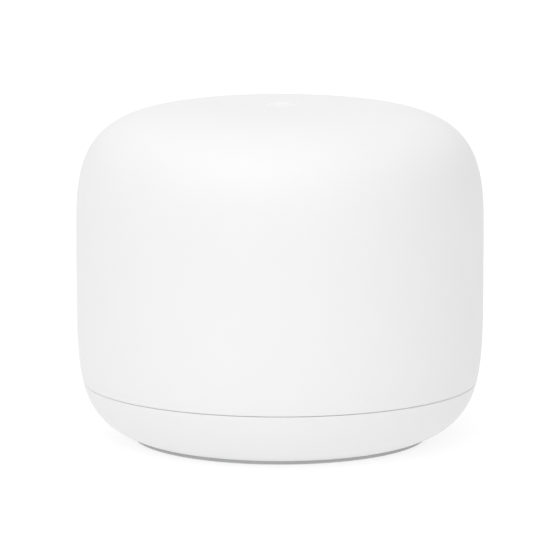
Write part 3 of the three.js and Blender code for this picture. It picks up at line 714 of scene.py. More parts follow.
def build_jack_insert(name):
    """The black moulding inside, with a groove for each contact in its ceiling."""
    low, high, middle = node_box(f"{name}_insert")
    can_high = node_box(f"{name}_shield")[1]
    insert = block(f"{name}_insert_moulding", low, high)
    room = keyhole(middle.x, can_high.z, 0)
    cut(insert, prism("room", room, can_high.y - PLUG["depth"], high.y + 2))
    tail_low = (middle.x - 4.7, can_high.y - 11.2, can_high.z - 2)
    cut(insert, block("tail", tail_low, (middle.x + 4.7, can_high.y - 9.4, high.z + 2)))
    ceiling = can_high.z - PLUG["top"]
    half = 0.3
    for x in contact_places(middle.x):
        groove_low = (x - half, can_high.y - 9.0, ceiling - 0.5)
        cut(insert, block("groove", groove_low, (x + half, high.y - 0.9, ceiling + 0.35)))
    return soften(insert, 0.12, 2, 50)


def tube(path, radius, sides=10):
    """Vertices and faces of a round wire along points, with closed ends."""
    path = [Vector(p) for p in path]
    vertices, faces = [], []
    runs_along_x = abs((path[1] - path[0]).normalized().x) > 0.9
    reference = Vector((0, 0, 1)) if runs_along_x else Vector((1, 0, 0))
    for k, point in enumerate(path):
        ahead = path[min(k + 1, len(path) - 1)] - path[max(k - 1, 0)]
        ahead.normalize()
        side = ahead.cross(reference).normalized()
        up = side.cross(ahead).normalized()
        for s in range(sides):
            angle = 2 * math.pi * s / sides
            vertices.append(point + radius * (math.cos(angle) * side + math.sin(angle) * up))
    for k in range(len(path) - 1):
        for s in range(sides):
            n = (s + 1) % sides
            a, b = k * sides, (k + 1) * sides
            faces.append([a + s, a + n, b + n, b + s])
    last = (len(path) - 1) * sides
    faces += [list(range(sides)), [last + s for s in reversed(range(sides))]]
    return vertices, faces


def merged(name, parts):
    """One object from several lists of vertices and faces."""
    vertices, faces = [], []
    for part_vertices, part_faces in parts:
        start = len(vertices)
        vertices += part_vertices
        faces += [[start + k for k in face] for face in part_faces]
    return make_object(name, vertices, faces)


def smooth_path(points, steps=6):
    """A Catmull-Rom curve through the points."""
    points = [Vector(p) for p in points]
    padded = [2 * points[0] - points[1]] + points + [2 * points[-1] - points[-2]]
    path = []
    for a, b, c, d in zip(padded, padded[1:], padded[2:], padded[3:]):
        for k in range(steps):
            t = k / steps
            curve = 2 * b + (c - a) * t + (2 * a - 5 * b + 4 * c - d) * t**2
            path.append(0.5 * (curve + (3 * b - a - 3 * c + d) * t**3))
    return path + [points[-1]]


def build_jack_contacts(name):
    """Eight gilt spring wires that come down from the back and rise to the mouth."""
    _, high, middle = node_box(f"{name}_shield")
    parts = []
    for x in contact_places(middle.x):
        path = smooth_path([(x, high.y + dy, high.z + dz) for dy, dz in CONTACT_BENDS])
        parts.append(tube(path, CONTACT_RADIUS))
    strip_low = (middle.x - 4.2, high.y - 10.8, high.z - 1.5)
    strip = block("strip", strip_low, (middle.x + 4.2, high.y - 9.8, high.z - 0.6))
    return gathered([merged(f"{name}_contact_wires", parts), soften(strip, 0.1, 2)])


def along_y(name, profile, place, segments=48):
    """Turns a profile of (r, y) points about a line along Y through a place."""
    return shifted(spun(turned(name, profile, segments), -90, "X"), *place)


def build_power_body():
    """The barrel socket's housing: a round well with a way behind it for the pin and the leaf."""
    low, high, middle = node_box("power_jack_body")
    face = (middle.x, high.y, middle.z)
    radius, wide = WELL["radius"], WELL["radius"] + WELL["chamfer"]
    body = soften(block("power_jack_housing", low, high), 0.35, 3)
    mouth = [(0, -WELL["depth"]), (radius, -WELL["depth"]), (radius, -WELL["chamfer"])]
    mouth += [(wide, 0.05), (wide, 1), (0, 1)]
    cut(body, along_y("well", mouth, face, 72))
    cut(body, along_y("pin_way", rectangle(0, WELL["pin_way"], -WELL["pin_depth"], 0), face, 32))
    slot_low = (middle.x - 1.3, high.y - 9, middle.z - radius - 0.9)
    cut(body, block("leaf_way", slot_low, (middle.x + 1.3, high.y - 2, middle.z)))
    return soften(body, 0.1, 2, 50)


def build_power_pin():
    """The centre pin, with a domed tip."""
    low, high, middle = node_box("power_jack_pin")
    radius, tip = high.x - middle.x, 0.9
    profile = [(0, low.y - high.y), (radius, low.y - high.y), (radius, -tip)]
    profile += [(radius * math.cos(a), tip * math.sin(a) - tip) for a in np.linspace(0.2, 1.35, 8)]
    return along_y("power_jack_centre_pin", profile + [(0, 0)], (middle.x, high.y, middle.z))


def build_power_contact():
    """The side contact: a bent leaf that springs into the well."""
    low, high, _ = node_box("power_jack_contact")
    thick = 0.3
    bends = [(0, low.y + share * (high.y - low.y), low.z + rise) for share, rise in LEAF_BENDS]
    path = smooth_path(bends, 5)
    outline = [(p.y, p.z) for p in path] + [(p.y, p.z + thick) for p in reversed(path)]
    leaf = prism("power_jack_leaf", outline, low.x, high.x)
    for vertex in leaf.data.vertices:
        y, x, z = vertex.co
        vertex.co = (x, y, z)
    leaf.data.flip_normals()
    return leaf


# ---- Reset button and its switch ----------------------------------------------------------

BUTTON = {"radius": 3.0, "dish_radius": 2.4, "dish": 0.25, "edge": 0.35, "stem": 1.6, "tip": 0.2}
BUTTON_FLANGE_Z = RIM_Z + 2.3
BUTTON_FLANGE_THICK = 0.8


def build_reset_button():
    """A round key with a dished face, a flange that keeps it in, and a stem."""
    low, high, middle = node_box("reset_button")
    radius, dish_r, stem, tip = (BUTTON[key] for key in ("radius", "dish_radius", "stem", "tip"))
    flange_r = high.x - middle.x
    flange_top = BUTTON_FLANGE_Z + BUTTON_FLANGE_THICK
    root = 0.3  # the fillet between flange and stem
    dish = BUTTON["dish"]
    profile = [(r, low.z + dish * (1 - (r / dish_r) ** 2)) for r in np.linspace(0, dish_r, 10)]
    profile += fillet((dish_r, low.z), (radius, low.z), (radius, low.z + 1), BUTTON["edge"])
    profile += [(radius, BUTTON_FLANGE_Z), (flange_r, BUTTON_FLANGE_Z), (flange_r, flange_top)]
    profile += [(stem + root, flange_top), (stem, flange_top + root), (stem, high.z - tip)]
    profile += [(stem - tip, high.z), (0, high.z)]
    return shifted(turned("reset_button_key", profile, 72), middle.x, middle.y)


def build_switch_body():
    """The tactile switch: a black base with a pressed metal frame around the plunger."""
    low, _, middle = node_box("reset_switch_body")
    inner, outer, drop, root = 1.95, 2.5, 0.25, 0.2  # of the collar
    collar = [(inner, low.z - drop), (outer, low.z - drop), (outer + 0.1, low.z + root)]
    rim = turned("collar", collar + [(inner, low.z + root)], 64)
    cap = [(0, low.z - 0.12), (0.3, low.z - 0.12), (0.42, low.z + 0.1), (0, low.z + 0.1)]
    studs = [shifted(turned("stud", cap, 24), x, y) for x, y in rectangle(-2.2, 2.2, -2.2, 2.2)]
    frame_parts = [mark_faces(shifted(part, middle.x, middle.y), 1) for part in [rim] + studs]
    return gathered([refined("reset_switch_body", "reset_switch_base", 0.2, 3)] + frame_parts)


def build_plunger():
    """The switch's stub, with a round edge at its free end."""
    low, high, middle = node_box("reset_switch_plunger")
    radius = high.x - middle.x
    edge = fillet((0, low.z), (radius, low.z), (radius, high.z), 0.35, 5)
    profile = [(0, low.z)] + edge + [(radius, high.z), (0, high.z)]
    return shifted(turned("reset_switch_stub", profile, 64), middle.x, middle.y)


# ---- Pieces inside the case ---------------------------------------------------------------

SMALL_PART = Vector((1.0, 0.5, 0.36))
SMALL_PART_END = 0.22
SMALL_PART_PITCH = 1.6
SMALL_PART_AIR = 1.4
SMALL_PART_STEP = Vector((0.02, 0.02, 0.02))  # the ceramic stands this much under its ends
ROWS_AROUND = {
    "cpu_chip": ("left", "right", "front", "back"),
    "radio_5g_chip": ("left", "right", "front", "back"),
    "radio_2g_chip": ("left", "right", "front", "back"),
    "ethernet_chip": ("left", "right", "front"),
    "power_inductor": ("left", "right", "front", "back"),
}
SIDES = {"left": (-1, 0), "right": (1, 0), "front": (0, -1), "back": (0, 1)}
BOARD_BORE = 1.35

LID = {"sheet": 0.3, "pitch": 2.6, "inset": 1.5, "hole": 0.45}

SINK_Z = node_box("cpu_thermal_pad")[1].z + 0.1
SINK_BASE_TOP = SINK_Z + 2.5
FIN_CIRCLE = 34
FIN_PITCH = 7.5
FIN = {"root": 0.75, "tip": 0.5}
BOSS = {"radius": 3.0, "case_bore": 1.3, "frame_bore": 1.1}

ANTENNAS = {  # widths, in order around the frame
    "antenna_5g_1": 11,
    "antenna_2g_1": 12,
    "antenna_5g_2": 11,
    "antenna_smart_home": 9,
    "antenna_5g_3": 11,
    "antenna_2g_2": 12,
    "antenna_5g_4": 11,
}
ANTENNA_FIRST_DEG = 12
ANTENNA_PITCH_DEG = 360 / len(ANTENNAS)
FRAME_INNER = 45.5
FRAME_THICK = 1.5
PANEL_WIDTH = 16
PANEL_FOOT_Z = 26
TAB = {"half": 4, "start": 35.5, "corner": 2.5, "thick": 1.5, "hole": 1.3}
FILM_THICK = 0.4
ELEMENT = {"thick": 0.1, "margin": 0.6, "corner": 0.6}
LEAD_RADIUS = 0.55
LEAD_ROUTE = [  # (how far inside, degrees beside, height above the board)
    (1, 9, 0),
    (0.6, 7, 0.6),
    (0, 3, 3.5),
    (0, 0, 8),
]
LEAD_END_Z = 4  # above the antenna's lower edge
LEAD_PLUG = [(0, 0), (1.0, 0), (1.0, 1.0), (0.8, 1.2), (0, 1.2)]

CAN = {"foot": 1.3, "edge": 0.5, "neck": 0.35, "bead": (1.1, 0.8, 0.4, 0.1), "corner": 0.9}
VENT = {"half": 2.2, "width": 0.18, "depth": 0.12}

SCREWS = {
    "case_screw": {"pitch": 0.8, "head": 1.6, "shank": 1.0, "head_down": True},
    "frame_screw": {"pitch": 0.6, "head": 1.2, "shank": 0.8, "head_down": False},
}


def refined(node, name, width, segments=2):
    """A copy of a CAD node with its flats merged and its edges rounded."""
    bm = bmesh.new()
    bm.from_mesh(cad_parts[node].data)
    bmesh.ops.remove_doubles(bm, verts=bm.verts, dist=1e-6)
    bmesh.ops.dissolve_limit(bm, angle_limit=math.radians(1), verts=bm.verts, edges=bm.edges)
    mesh = bpy.data.meshes.new(name)
    bm.to_mesh(mesh)
    bm.free()
    return soften(link_mesh(name, mesh), width, segments)


def box_faces(low, high):
    """Vertices and faces of a box."""
    xs, ys, zs = zip(low, high)
    vertices = [(x, y, z) for x in xs for y in ys for z in zs]
    return vertices, [(0, 1, 3, 2), (4, 6, 7, 5), (0, 4, 5, 1), (2, 3, 7, 6), (0, 2, 6, 4), (1, 5, 7, 3)]


def small_parts(board_top):
    """Rows of tiny capacitors around the chips: their ceramic bodies, and their tinned ends."""
    bodies, ends = [], []
    for node, sides in ROWS_AROUND.items():
        low, high, middle = node_box(node)
        half = (high - low) / 2
        for side in sides:
            out_x, out_y = SIDES[side]
            axis = 0 if out_x else 1
            count = int(2 * half[1 - axis] / SMALL_PART_PITCH)
            size = SMALL_PART if out_x else Vector((SMALL_PART.y, SMALL_PART.x, SMALL_PART.z))
            for k in range(count):
                along = (k - (count - 1) / 2) * SMALL_PART_PITCH
                x = middle.x + out_x * (half.x + SMALL_PART_AIR) + along * abs(out_y)
                y = middle.y + out_y * (half.y + SMALL_PART_AIR) + along * abs(out_x)
                first = Vector((x, y, board_top + size.z / 2)) - size / 2
                last = first + size
                ends_at = first[axis] + SMALL_PART_END, last[axis] - SMALL_PART_END
                body_low, body_high, end_high, end_low = first.copy(), last.copy(), last.copy(), first.copy()
                body_low[axis] = end_high[axis] = ends_at[0]
                body_high[axis] = end_low[axis] = ends_at[1]
                bodies.append(box_faces(body_low, body_high - SMALL_PART_STEP))
                ends += [box_faces(first, end_high), box_faces(end_low, last)]
    return merged("small_part_bodies", bodies), merged("small_part_ends", ends)


def build_main_board():
    """The laminate, with its screw holes and the small parts around the chips."""
    low, high, middle = node_box("main_board")
    side = math.asin(high.y / high.x)
    turns = np.linspace(math.pi - side, 2 * math.pi + side, 181)
    outline = [(high.x * math.cos(a), high.x * math.sin(a)) for a in turns]
    board = standing_prism("main_board_laminate", outline, low.z, high.z)
    cut(board, gathered([upright("hole", *at, BOARD_BORE, low.z - 1, high.z + 1) for at in CASE_SCREWS]))
    soften(board, 0.06, 2, 50)
    for face in board.data.polygons:
        edge_on = abs(face.normal.z) < 0.5 and abs(face.center.z / MM - middle.z) < 0.75
        face.material_index = 1 if edge_on else 0
    bodies, ends = small_parts(high.z)
    return gathered([board, mark_faces(bodies, 2), mark_faces(ends, 3)])


def build_chip(node):
    """A moulded package with a small round dimple at its first corner."""
    low, high, _ = node_box(node)
    inset, radius, depth = 1.3, 0.4, 0.1
    chip = soften(block(f"{node}_package", low, high), 0.12, 2)
    return cut(chip, upright("dimple", low.x + inset, high.y - inset, radius, high.z - depth, FAR, 32))


def build_lid(node):
    """A pressed metal lid with small air holes along its edges."""
    low, high, _ = node_box(node)
    sheet, inset = LID["sheet"], LID["inset"]
    lid = soften(block(f"{node}_lid", low, high), 0.45, 4)
    room_low = low + Vector((sheet, sheet, -1))
    cut(lid, block("room", room_low, high - Vector((sheet, sheet, sheet))))
    holes = []
    for axis, other in ((0, 1), (1, 0)):
        run = (high - low)[axis] - 2 * inset
        count = int(run / LID["pitch"])
        for k in range(count + (1 - axis)):
            for edge in (low[other] + inset, high[other] - inset):
                place = [0, 0]
                place[axis] = low[axis] + inset + (k + axis * 0.5) * run / count
                place[other] = edge
                holes.append(upright("hole", *place, LID["hole"], high.z - 1, high.z + 1, 16))
    cut(lid, gathered(holes))
    return soften(lid, 0.05, 1, 60)


def build_heat_sink():
    """A die casting: a disc with tapered fins above and a boss for each case screw below."""
    low, high, _ = node_box("heat_sink")
    casting = turned("heat_sink_casting", rectangle(0, high.x, SINK_Z, SINK_BASE_TOP), 192)
    fins = []
    each_side = int(FIN_CIRCLE / FIN_PITCH)
    foot_z = SINK_BASE_TOP - 0.5
    for k in range(-each_side, each_side + 1):
        x = k * FIN_PITCH
        reach = math.sqrt(FIN_CIRCLE**2 - x * x)
        section = [(x - FIN["root"], foot_z), (x + FIN["root"], foot_z)]
        section += [(x + FIN["tip"], high.z), (x - FIN["tip"], high.z)]
        fins.append(prism("fin", section, -reach, reach))
    join(casting, gathered(fins))
    bosses = [upright("boss", *at, BOSS["radius"], low.z, SINK_Z + 1) for at in CASE_SCREWS]
    join(casting, gathered(bosses))
    bores = [upright("bore", *at, BOSS["case_bore"], low.z - 1, foot_z) for at in CASE_SCREWS]
    bores += [upright("bore", *at, BOSS["frame_bore"], SINK_Z - 1, high.z) for at in FRAME_SCREWS]
    cut(casting, gathered(bores))
    return soften(casting, 0.3, 3, 50)


def swung(obj, degrees):
    """Turns an object that faces +Y so that it faces an angle around Z."""
    return spun(obj, degrees - 90)


def build_antenna_frame():
    """A drum of panels between tall round-cornered openings, on three screwed tabs."""
    low, high, _ = node_box("antenna_frame")
    section = rectangle(FRAME_INNER, FRAME_INNER + FRAME_THICK, low.z, high.z)
    drum = turned("antenna_frame_drum", section, 224)
    half = (2 * math.pi * FRAME_INNER / len(ANTENNAS) - PANEL_WIDTH) / 2
    opening = round_box(-half, half, PANEL_FOOT_Z, high.z - 6, 3)
    openings = []
    for k in range(len(ANTENNAS)):
        degrees = ANTENNA_FIRST_DEG + (k + 0.5) * ANTENNA_PITCH_DEG
        openings.append(swung(prism("opening", opening, FRAME_INNER - 10, FRAME_INNER + 5), degrees))
    cut(drum, gathered(openings))
    tab_z = SINK_BASE_TOP + 0.1
    outline = round_box(-TAB["half"], TAB["half"], TAB["start"], FRAME_INNER + 6, TAB["corner"])
    tabs, holes = [], []
    for x, y in FRAME_SCREWS:
        tab = standing_prism("tab", outline, tab_z, tab_z + TAB["thick"])
        tabs.append(swung(tab, math.degrees(math.atan2(y, x))))
        holes.append(upright("hole", x, y, TAB["hole"], 0, FAR))
    join(drum, clip(gathered(tabs), upright("inside", 0, 0, FRAME_INNER + 0.5, 0, FAR, 224)))
    cut(drum, gathered(holes))
    return soften(drum, 0.2, 2, 50)


def build_antenna(node, degrees):
    """A flexible film with a slotted copper element on it, flat against its panel."""
    low, high, _ = node_box(node)
    half = ANTENNAS[node] / 2
    back = math.sqrt(FRAME_INNER**2 - half**2) - 0.4
    copper_y = back - FILM_THICK
    film_piece = prism(f"{node}_film", round_box(-half, half, low.z, high.z, 1), copper_y, back)
    margin = ELEMENT["margin"]
    edges = (margin - half, half - margin, low.z + margin, high.z - margin)
    outline = round_box(*edges, ELEMENT["corner"])
    element = prism("element", outline, copper_y - ELEMENT["thick"], copper_y)
    cut(element, block("slot", (2 - half, 0, low.z + 6), (0.5, back, high.z - 4)))
    cut(element, block("notch", (0.4, 0, low.z + 8), (half, back, low.z + 9)))
    return swung(gathered([film_piece, mark_faces(element, 1)]), degrees)


def build_lead(node, degrees):
    """A thin coaxial lead from its round plug on the board up to its antenna."""
    low, _, _ = node_box(node)
    board_z = node_box("cpu_shield")[0].z
    half = ANTENNAS[node] / 2
    lead_r = math.sqrt(FRAME_INNER**2 - half**2) - 1.2 - LEAD_RADIUS
    route = []
    for inside, beside, rise in LEAD_ROUTE:
        angle = math.radians(degrees + beside)
        r = lead_r - inside
        route.append((r * math.cos(angle), r * math.sin(angle), board_z + LEAD_RADIUS + rise))
    angle = math.radians(degrees)
    end = (lead_r * math.cos(angle), lead_r * math.sin(angle), low.z + LEAD_END_Z)
    wire = merged(f"{node}_coax", [tube(smooth_path(route + [end]), LEAD_RADIUS, 14)])
    plug = shifted(turned("plug", LEAD_PLUG, 40), *route[0][:2], board_z)
    return gathered([wire, mark_faces(plug, 1)])


def build_capacitor(node):
    """A can with a rolled bead above its black foot and a scored vent on its end."""
    low, high, middle = node_box(node)
    radius = high.x - middle.x
    foot_z = high.z - CAN["foot"]
    can = [(0, low.z)] + fillet((0, low.z), (radius, low.z), (radius, foot_z), CAN["edge"], 5)
    for r, drop in zip((radius, radius - CAN["neck"], radius - CAN["neck"], radius), CAN["bead"]):
        can.append((r, foot_z - drop))
    body = turned(f"{node}_can", can + [(radius, foot_z), (0, foot_z)], 72)
    half, width = VENT["half"], VENT["width"] / 2
    for degrees in (0, 90):
        score = block("score", (-half, -width, low.z - 1), (half, width, low.z + VENT["depth"]))
        cut(body, spun(score, degrees))
    side = radius - 0.05
    foot = standing_prism("foot", round_box(-side, side, -side, side, CAN["corner"]), foot_z, high.z)
    clip(foot, upright("round", 0, 0, radius, foot_z - 1, high.z + 1, 72))
    foot = mark_faces(soften(foot, 0.12), 1)
    return shifted(gathered([body, foot]), middle.x, middle.y)


def build_screw(node, kind):
    """A pan-head screw with a cross recess, a threaded shank and a point."""
    low, high, middle = node_box(node)
    pitch, head, shank, head_down = SCREWS[kind].values()
    head_r = (high.y - low.y) / 2
    length = high.z - low.z
    root = shank * 0.78
    profile = [(0, 0)] + fillet((0, 0), (head_r, 0), (head_r, head), head * 0.45, 6)
    profile += [(head_r, head), (root, head)]
    z = head + 0.6
    while z + pitch < length - 0.9:
        profile += [(root, z), (shank, z + pitch * 0.45), (shank, z + pitch * 0.55), (root, z + pitch)]
        z += pitch
    profile += [(root, length - 0.8), (root * 0.5, length), (0, length)]
    screw = turned(f"{node}_threaded", profile, 48, 50)
    reach, tip, depth = head_r * 0.55, head_r * 0.55 * 0.45, head * 0.6
    wedge = [(-reach, -1), (reach, -1), (reach, 0), (tip, depth), (-tip, depth), (-reach, 0)]
    for degrees in (0, 90):
        cut(screw, spun(prism("bar", wedge, -0.3, 0.3), degrees))
    if not head_down:
        spun(screw, 180, "X")
    return shifted(screw, middle.x, middle.y, low.z if head_down else high.z)


def build_status_led():
    """A white package with a round yellow phosphor window that faces down into the light pipe."""
    low, high, middle = node_box("status_led")
    radius, inside, edge_drop, drop = 0.36, 0.02, 0.03, 0.06
    window = [(0, low.z + inside), (radius, low.z + inside), (radius, low.z - edge_drop), (0, low.z - drop)]
    lens = mark_faces(shifted(turned("lens", window, 40), middle.x, middle.y), 1)
    return gathered([soften(block("status_led_package", low, high), 0.06, 2), lens])


# ---- Floor, light and camera --------------------------------------------------------------

LENS_MM = 260.8
VIEW_DISTANCE = 1.098  # metres, as are the heights of the pivot and of the aim
VIEW_ELEVATION = math.radians(9.41)
PIVOT_Z = 0.0452
AIM_Z = 0.0425

# The studio around the router: an even light, and soft lights as (direction, strength, narrowness).
EVEN_LIGHT = 0.55
SOFT_LIGHTS = {
    "high_left": ((-0.15, -0.6, 0.78), 1.48, 7),
    "overhead": ((0, 0, 1), 0.39, 2),
    "front_right": ((0.5, -0.8, 0.3), 0.19, 4),
    "left": ((-1, -0.4, 0.1), 0.1, 2),
    "behind": ((0, 1, 0.2), 0.33, 2),
    "right_shade": ((1, 0.1, -0.1), -0.42, 5),
}
FLOOR_HALF = 6000
FLOOR_COLOR = (0.3, 0.3, 0.3, 1)
FLOOR_GLOW = 0.69


def build_camera():
    camera_data = bpy.data.cameras.new("camera")
    camera_data.sensor_width = 36.0
    camera_data.lens = LENS_MM
    camera_data.clip_start = 0.01
    camera_data.clip_end = 20.0
    camera = bpy.data.objects.new("camera", camera_data)
    bpy.context.scene.collection.objects.link(camera)
    aim = Vector((0, 0, AIM_Z))
    back, rise = math.cos(VIEW_ELEVATION), math.sin(VIEW_ELEVATION)
    camera.location = (0, -VIEW_DISTANCE * back, PIVOT_Z + VIEW_DISTANCE * rise)
    camera.rotation_euler = (aim - camera.location).to_track_quat("-Z", "Y").to_euler()
    bpy.context.scene.camera = camera


def build_floor():
    """A white table that is also lit from below, which leaves only a faint contact shadow."""
    corners = [(x, y, 0) for x, y in rectangle(-FLOOR_HALF, FLOOR_HALF, -FLOOR_HALF, FLOOR_HALF)]
    floor = make_object("floor", corners, [[0, 1, 2, 3]])
    material = bpy.data.materials.new("pale_floor")
    material.use_nodes = True
    shader = material.node_tree.nodes["Principled BSDF"]
    shader.inputs["Base Color"].default_value = FLOOR_COLOR
    shader.inputs["Roughness"].default_value = 0.8
    shader.inputs["Emission Color"].default_value = (1, 1, 1, 1)
    shader.inputs["Emission Strength"].default_value = FLOOR_GLOW
    floor.data.materials.append(material)
    floor.location.z = -0.02 * MM


def math_node(tree, operation, first, second):
    """A math node on two numbers or sockets."""
    node = tree.nodes.new("ShaderNodeMath")
    node.operation = operation
    for socket, value in zip(node.inputs, (first, second)):
        if isinstance(value, bpy.types.NodeSocket):
            tree.links.new(value, socket)
        else:
            socket.default_value = value
    return node.outputs[0]


def build_light():
    world = bpy.data.worlds.new("studio")
    world.use_nodes = True
    tree = world.node_tree
    direction = tree.nodes.new("ShaderNodeTexCoord").outputs["Generated"]
    total = EVEN_LIGHT
    for name, (towards, strength, narrowness) in SOFT_LIGHTS.items():
        facing = tree.nodes.new("ShaderNodeVectorMath")
        facing.name = name
        facing.operation = "DOT_PRODUCT"
        facing.inputs[1].default_value = Vector(towards).normalized()
        tree.links.new(direction, facing.inputs[0])
        ahead = math_node(tree, "MAXIMUM", facing.outputs["Value"], 0.0)
        lobe = math_node(tree, "POWER", ahead, narrowness)
        total = math_node(tree, "ADD", math_node(tree, "MULTIPLY", lobe, strength), total)
    background = tree.nodes["Background"]
    background.inputs["Color"].default_value = (1, 1, 1, 1)
    tree.links.new(total, background.inputs["Strength"])
    bpy.context.scene.world = world
    bpy.context.scene.view_settings.view_transform = "Standard"


# ---- Materials ----------------------------------------------------------------------------


class Finish:
    """A procedural material around one Principled shader, with sizes in millimetres."""

    def __init__(self, name, metallic=0.0, ior=1.5, **constants):
        self.material = bpy.data.materials.new(name)
        self.material.use_nodes = True
        self.tree = self.material.node_tree
        self.shader = self.tree.nodes["Principled BSDF"]
        settings = {"Metallic": metallic, "IOR": ior}
        settings.update({key.replace("_", " ").title(): value for key, value in constants.items()})
        for socket, value in settings.items():
            self.shader.inputs[socket].default_value = value
        self.place = self.node("TexCoord").outputs["Object"]

    def node(self, kind, **inputs):
        """A node with its inputs linked, or set to constants."""
        node = self.tree.nodes.new(f"ShaderNode{kind}")
        for name, value in inputs.items():
            self.put(node.inputs[name.replace("_", " ")], value)
        return node

    def put(self, socket, value):
        """Links a socket, or sets it to a constant."""
        if isinstance(value, bpy.types.NodeSocket):
            self.tree.links.new(value, socket)
        elif isinstance(value, (tuple, list)) and len(value) == 3 and len(socket.default_value) == 4:
            socket.default_value = (*value, 1)
        else:
            socket.default_value = value

    def noise(self, size, detail=2, stretch=None, roughness=0.5):
        """Noise, drawn out along an axis if it is stretched."""
        place = self.place
        if stretch:
            place = self.node("Mapping", Vector=place, Scale=stretch).outputs["Vector"]
        node = self.node(
            "TexNoise", Scale=1 / (size * MM), Detail=detail, Roughness=roughness, Vector=place
        )
        return node.outputs["Fac"]

    def cells(self, size):
        """Distance to the nearest of scattered points."""
        return self.node("TexVoronoi", Scale=1 / (size * MM), Vector=self.place).outputs["Distance"]

    def spread(self, source, low, high, start=0.0, end=1.0):
        """Carries the range from start to end over to the range from low to high."""
        node = self.node(
            "MapRange", Value=source, From_Min=start, From_Max=end, To_Min=low, To_Max=high
        )
        return node.outputs["Result"]

    def uneven(self, size, low, high):
        """A value that wanders between two limits over a distance."""
        return self.spread(self.noise(size), low, high)

    def calculate(self, operation, first, second=0.0):
        return math_node(self.tree, operation, first, second)

    def blend(self, factor, first, second):
        node = self.node("Mix")
        node.data_type = "RGBA"
        for name, value in (("Factor", factor), ("A", first), ("B", second)):
            self.put(node.inputs[name], value)
        return node.outputs["Result"]

    def cloudy(self, color, size, share):
        """A colour that wanders a little over a distance."""
        darker = tuple(c * (1 - share) for c in color)
        lighter = tuple(min(1, c * (1 + share)) for c in color)
        return self.blend(self.noise(size, 3), darker, lighter)

    def done(self, color, roughness, height, depth, strength=0.6):
        """The material, with a colour, a roughness and a bump of a depth."""
        bump = self.node("Bump", Distance=depth * MM, Strength=strength, Height=height)
        self.put(self.shader.inputs["Base Color"], color)
        self.put(self.shader.inputs["Roughness"], roughness)
        self.put(self.shader.inputs["Normal"], bump.outputs["Normal"])
        return self.material


def plastic(name, color, roughness=0.45, grain=0.22, depth=0.006, mottle=0.012):
    """Moulded plastic: a fine spark-eroded grain, with faint cloudiness and uneven gloss."""
    finish = Finish(name)
    gloss = finish.uneven(4, roughness - 0.05, roughness + 0.05)
    return finish.done(finish.cloudy(color, 9, mottle), gloss, finish.noise(grain), depth)


def white_cover():
    """Satin white plastic, with the round mark on top moulded a little smoother; its colour is painted paler
    there, a painted highlight for the light its dish catches.
    """
    finish = Finish("white_cover", ior=1.46)
    parts = finish.node("SeparateXYZ", Vector=finish.place)
    squares = [finish.calculate("POWER", parts.outputs[k], 2.0) for k in range(2)]
    radius = finish.calculate("SQRT", finish.calculate("ADD", *squares))
    edge = 0.3
    inside = finish.spread(radius, 1, 0, (MARK_RADIUS - edge) * MM, MARK_RADIUS * MM)
    on_top = finish.spread(parts.outputs[2], 0, 1, (HEIGHT - 3) * MM, (HEIGHT - 2) * MM)
    mark_gloss_and_painted_highlight = finish.calculate("MULTIPLY", inside, on_top)
    # Inside the mark the colour is painted paler: a painted highlight, the same plastic drawn lighter.
    color = finish.blend(mark_gloss_and_painted_highlight, finish.cloudy((0.83, 0.83, 0.83), 11, 0.008), (0.86, 0.86, 0.86))
    smooth = finish.calculate("MULTIPLY", mark_gloss_and_painted_highlight, 0.15)
    rough = finish.calculate("SUBTRACT", finish.uneven(5, 0.43, 0.51), smooth)
    coarse = finish.calculate("MULTIPLY", finish.noise(0.7), 0.5)
    return finish.done(color, rough, finish.calculate("ADD", finish.noise(0.2), coarse), 0.005)


def soft_rubber():
    """Matt elastomer with a fine, slightly dusty skin."""
    finish = Finish("foot_rubber")
    dust = finish.spread(finish.noise(1.1, 5, roughness=0.7), 0, 0.35, 0.5, 0.75)
    color = finish.blend(dust, finish.cloudy((0.46, 0.46, 0.47), 6, 0.04), (0.62, 0.62, 0.62))
    return finish.done(color, finish.uneven(2.5, 0.72, 0.88), finish.noise(0.12, 3), 0.008)


def metal(name, color, roughness=0.25, brushed=(1, 1, 0.06), wear=0.05):
    """Plated sheet metal: rolled along one way, a little duller where it has been handled."""
    finish = Finish(name, metallic=1.0)
    lines = finish.noise(0.09, 3, brushed)
    handled = finish.noise(2.6, 4)
    shine = finish.calculate("ADD", finish.spread(lines, 0, 0.1), finish.spread(handled, 0, wear * 2))
    rough = finish.calculate("ADD", shine, roughness - 0.05 - wear)
    return finish.done(finish.cloudy(color, 1.8, 0.04), rough, lines, 0.0015)


def solder_mask():
    """Green lacquer over copper: paler where tracks run under it, with small tinned vias."""
    finish = Finish("board_green", ior=1.52)
    tracks = finish.node(
        "TexBrick", Scale=1 / MM, Brick_Width=3.4, Row_Height=0.9, Mortar_Size=0.12, Vector=finish.place
    )
    routed = finish.spread(finish.noise(11, 1), 0, 1, 0.47, 0.52)
    track = finish.calculate("MULTIPLY", tracks.outputs["Fac"], routed)
    lacquer = finish.blend(track, finish.cloudy((0.012, 0.085, 0.035), 14, 0.1), (0.03, 0.17, 0.07))
    via = finish.spread(finish.cells(2.3), 1, 0, 0.075, 0.09)
    color = finish.blend(via, lacquer, (0.62, 0.6, 0.55))
    height = finish.calculate("ADD", track, finish.calculate("MULTIPLY", finish.noise(0.3), 0.15))
    return finish.done(color, finish.uneven(3, 0.28, 0.38), height, 0.02, 0.5)


def laminate_edge():
    """The sawn edge of the board: pale glass fibre in layers."""
    finish = Finish("board_edge")
    layers = finish.noise(0.18, 2, (0.2, 0.2, 1))
    color = finish.blend(layers, (0.42, 0.38, 0.2), (0.62, 0.58, 0.36))
    return finish.done(color, finish.spread(layers, 0.6, 0.8), layers, 0.02)


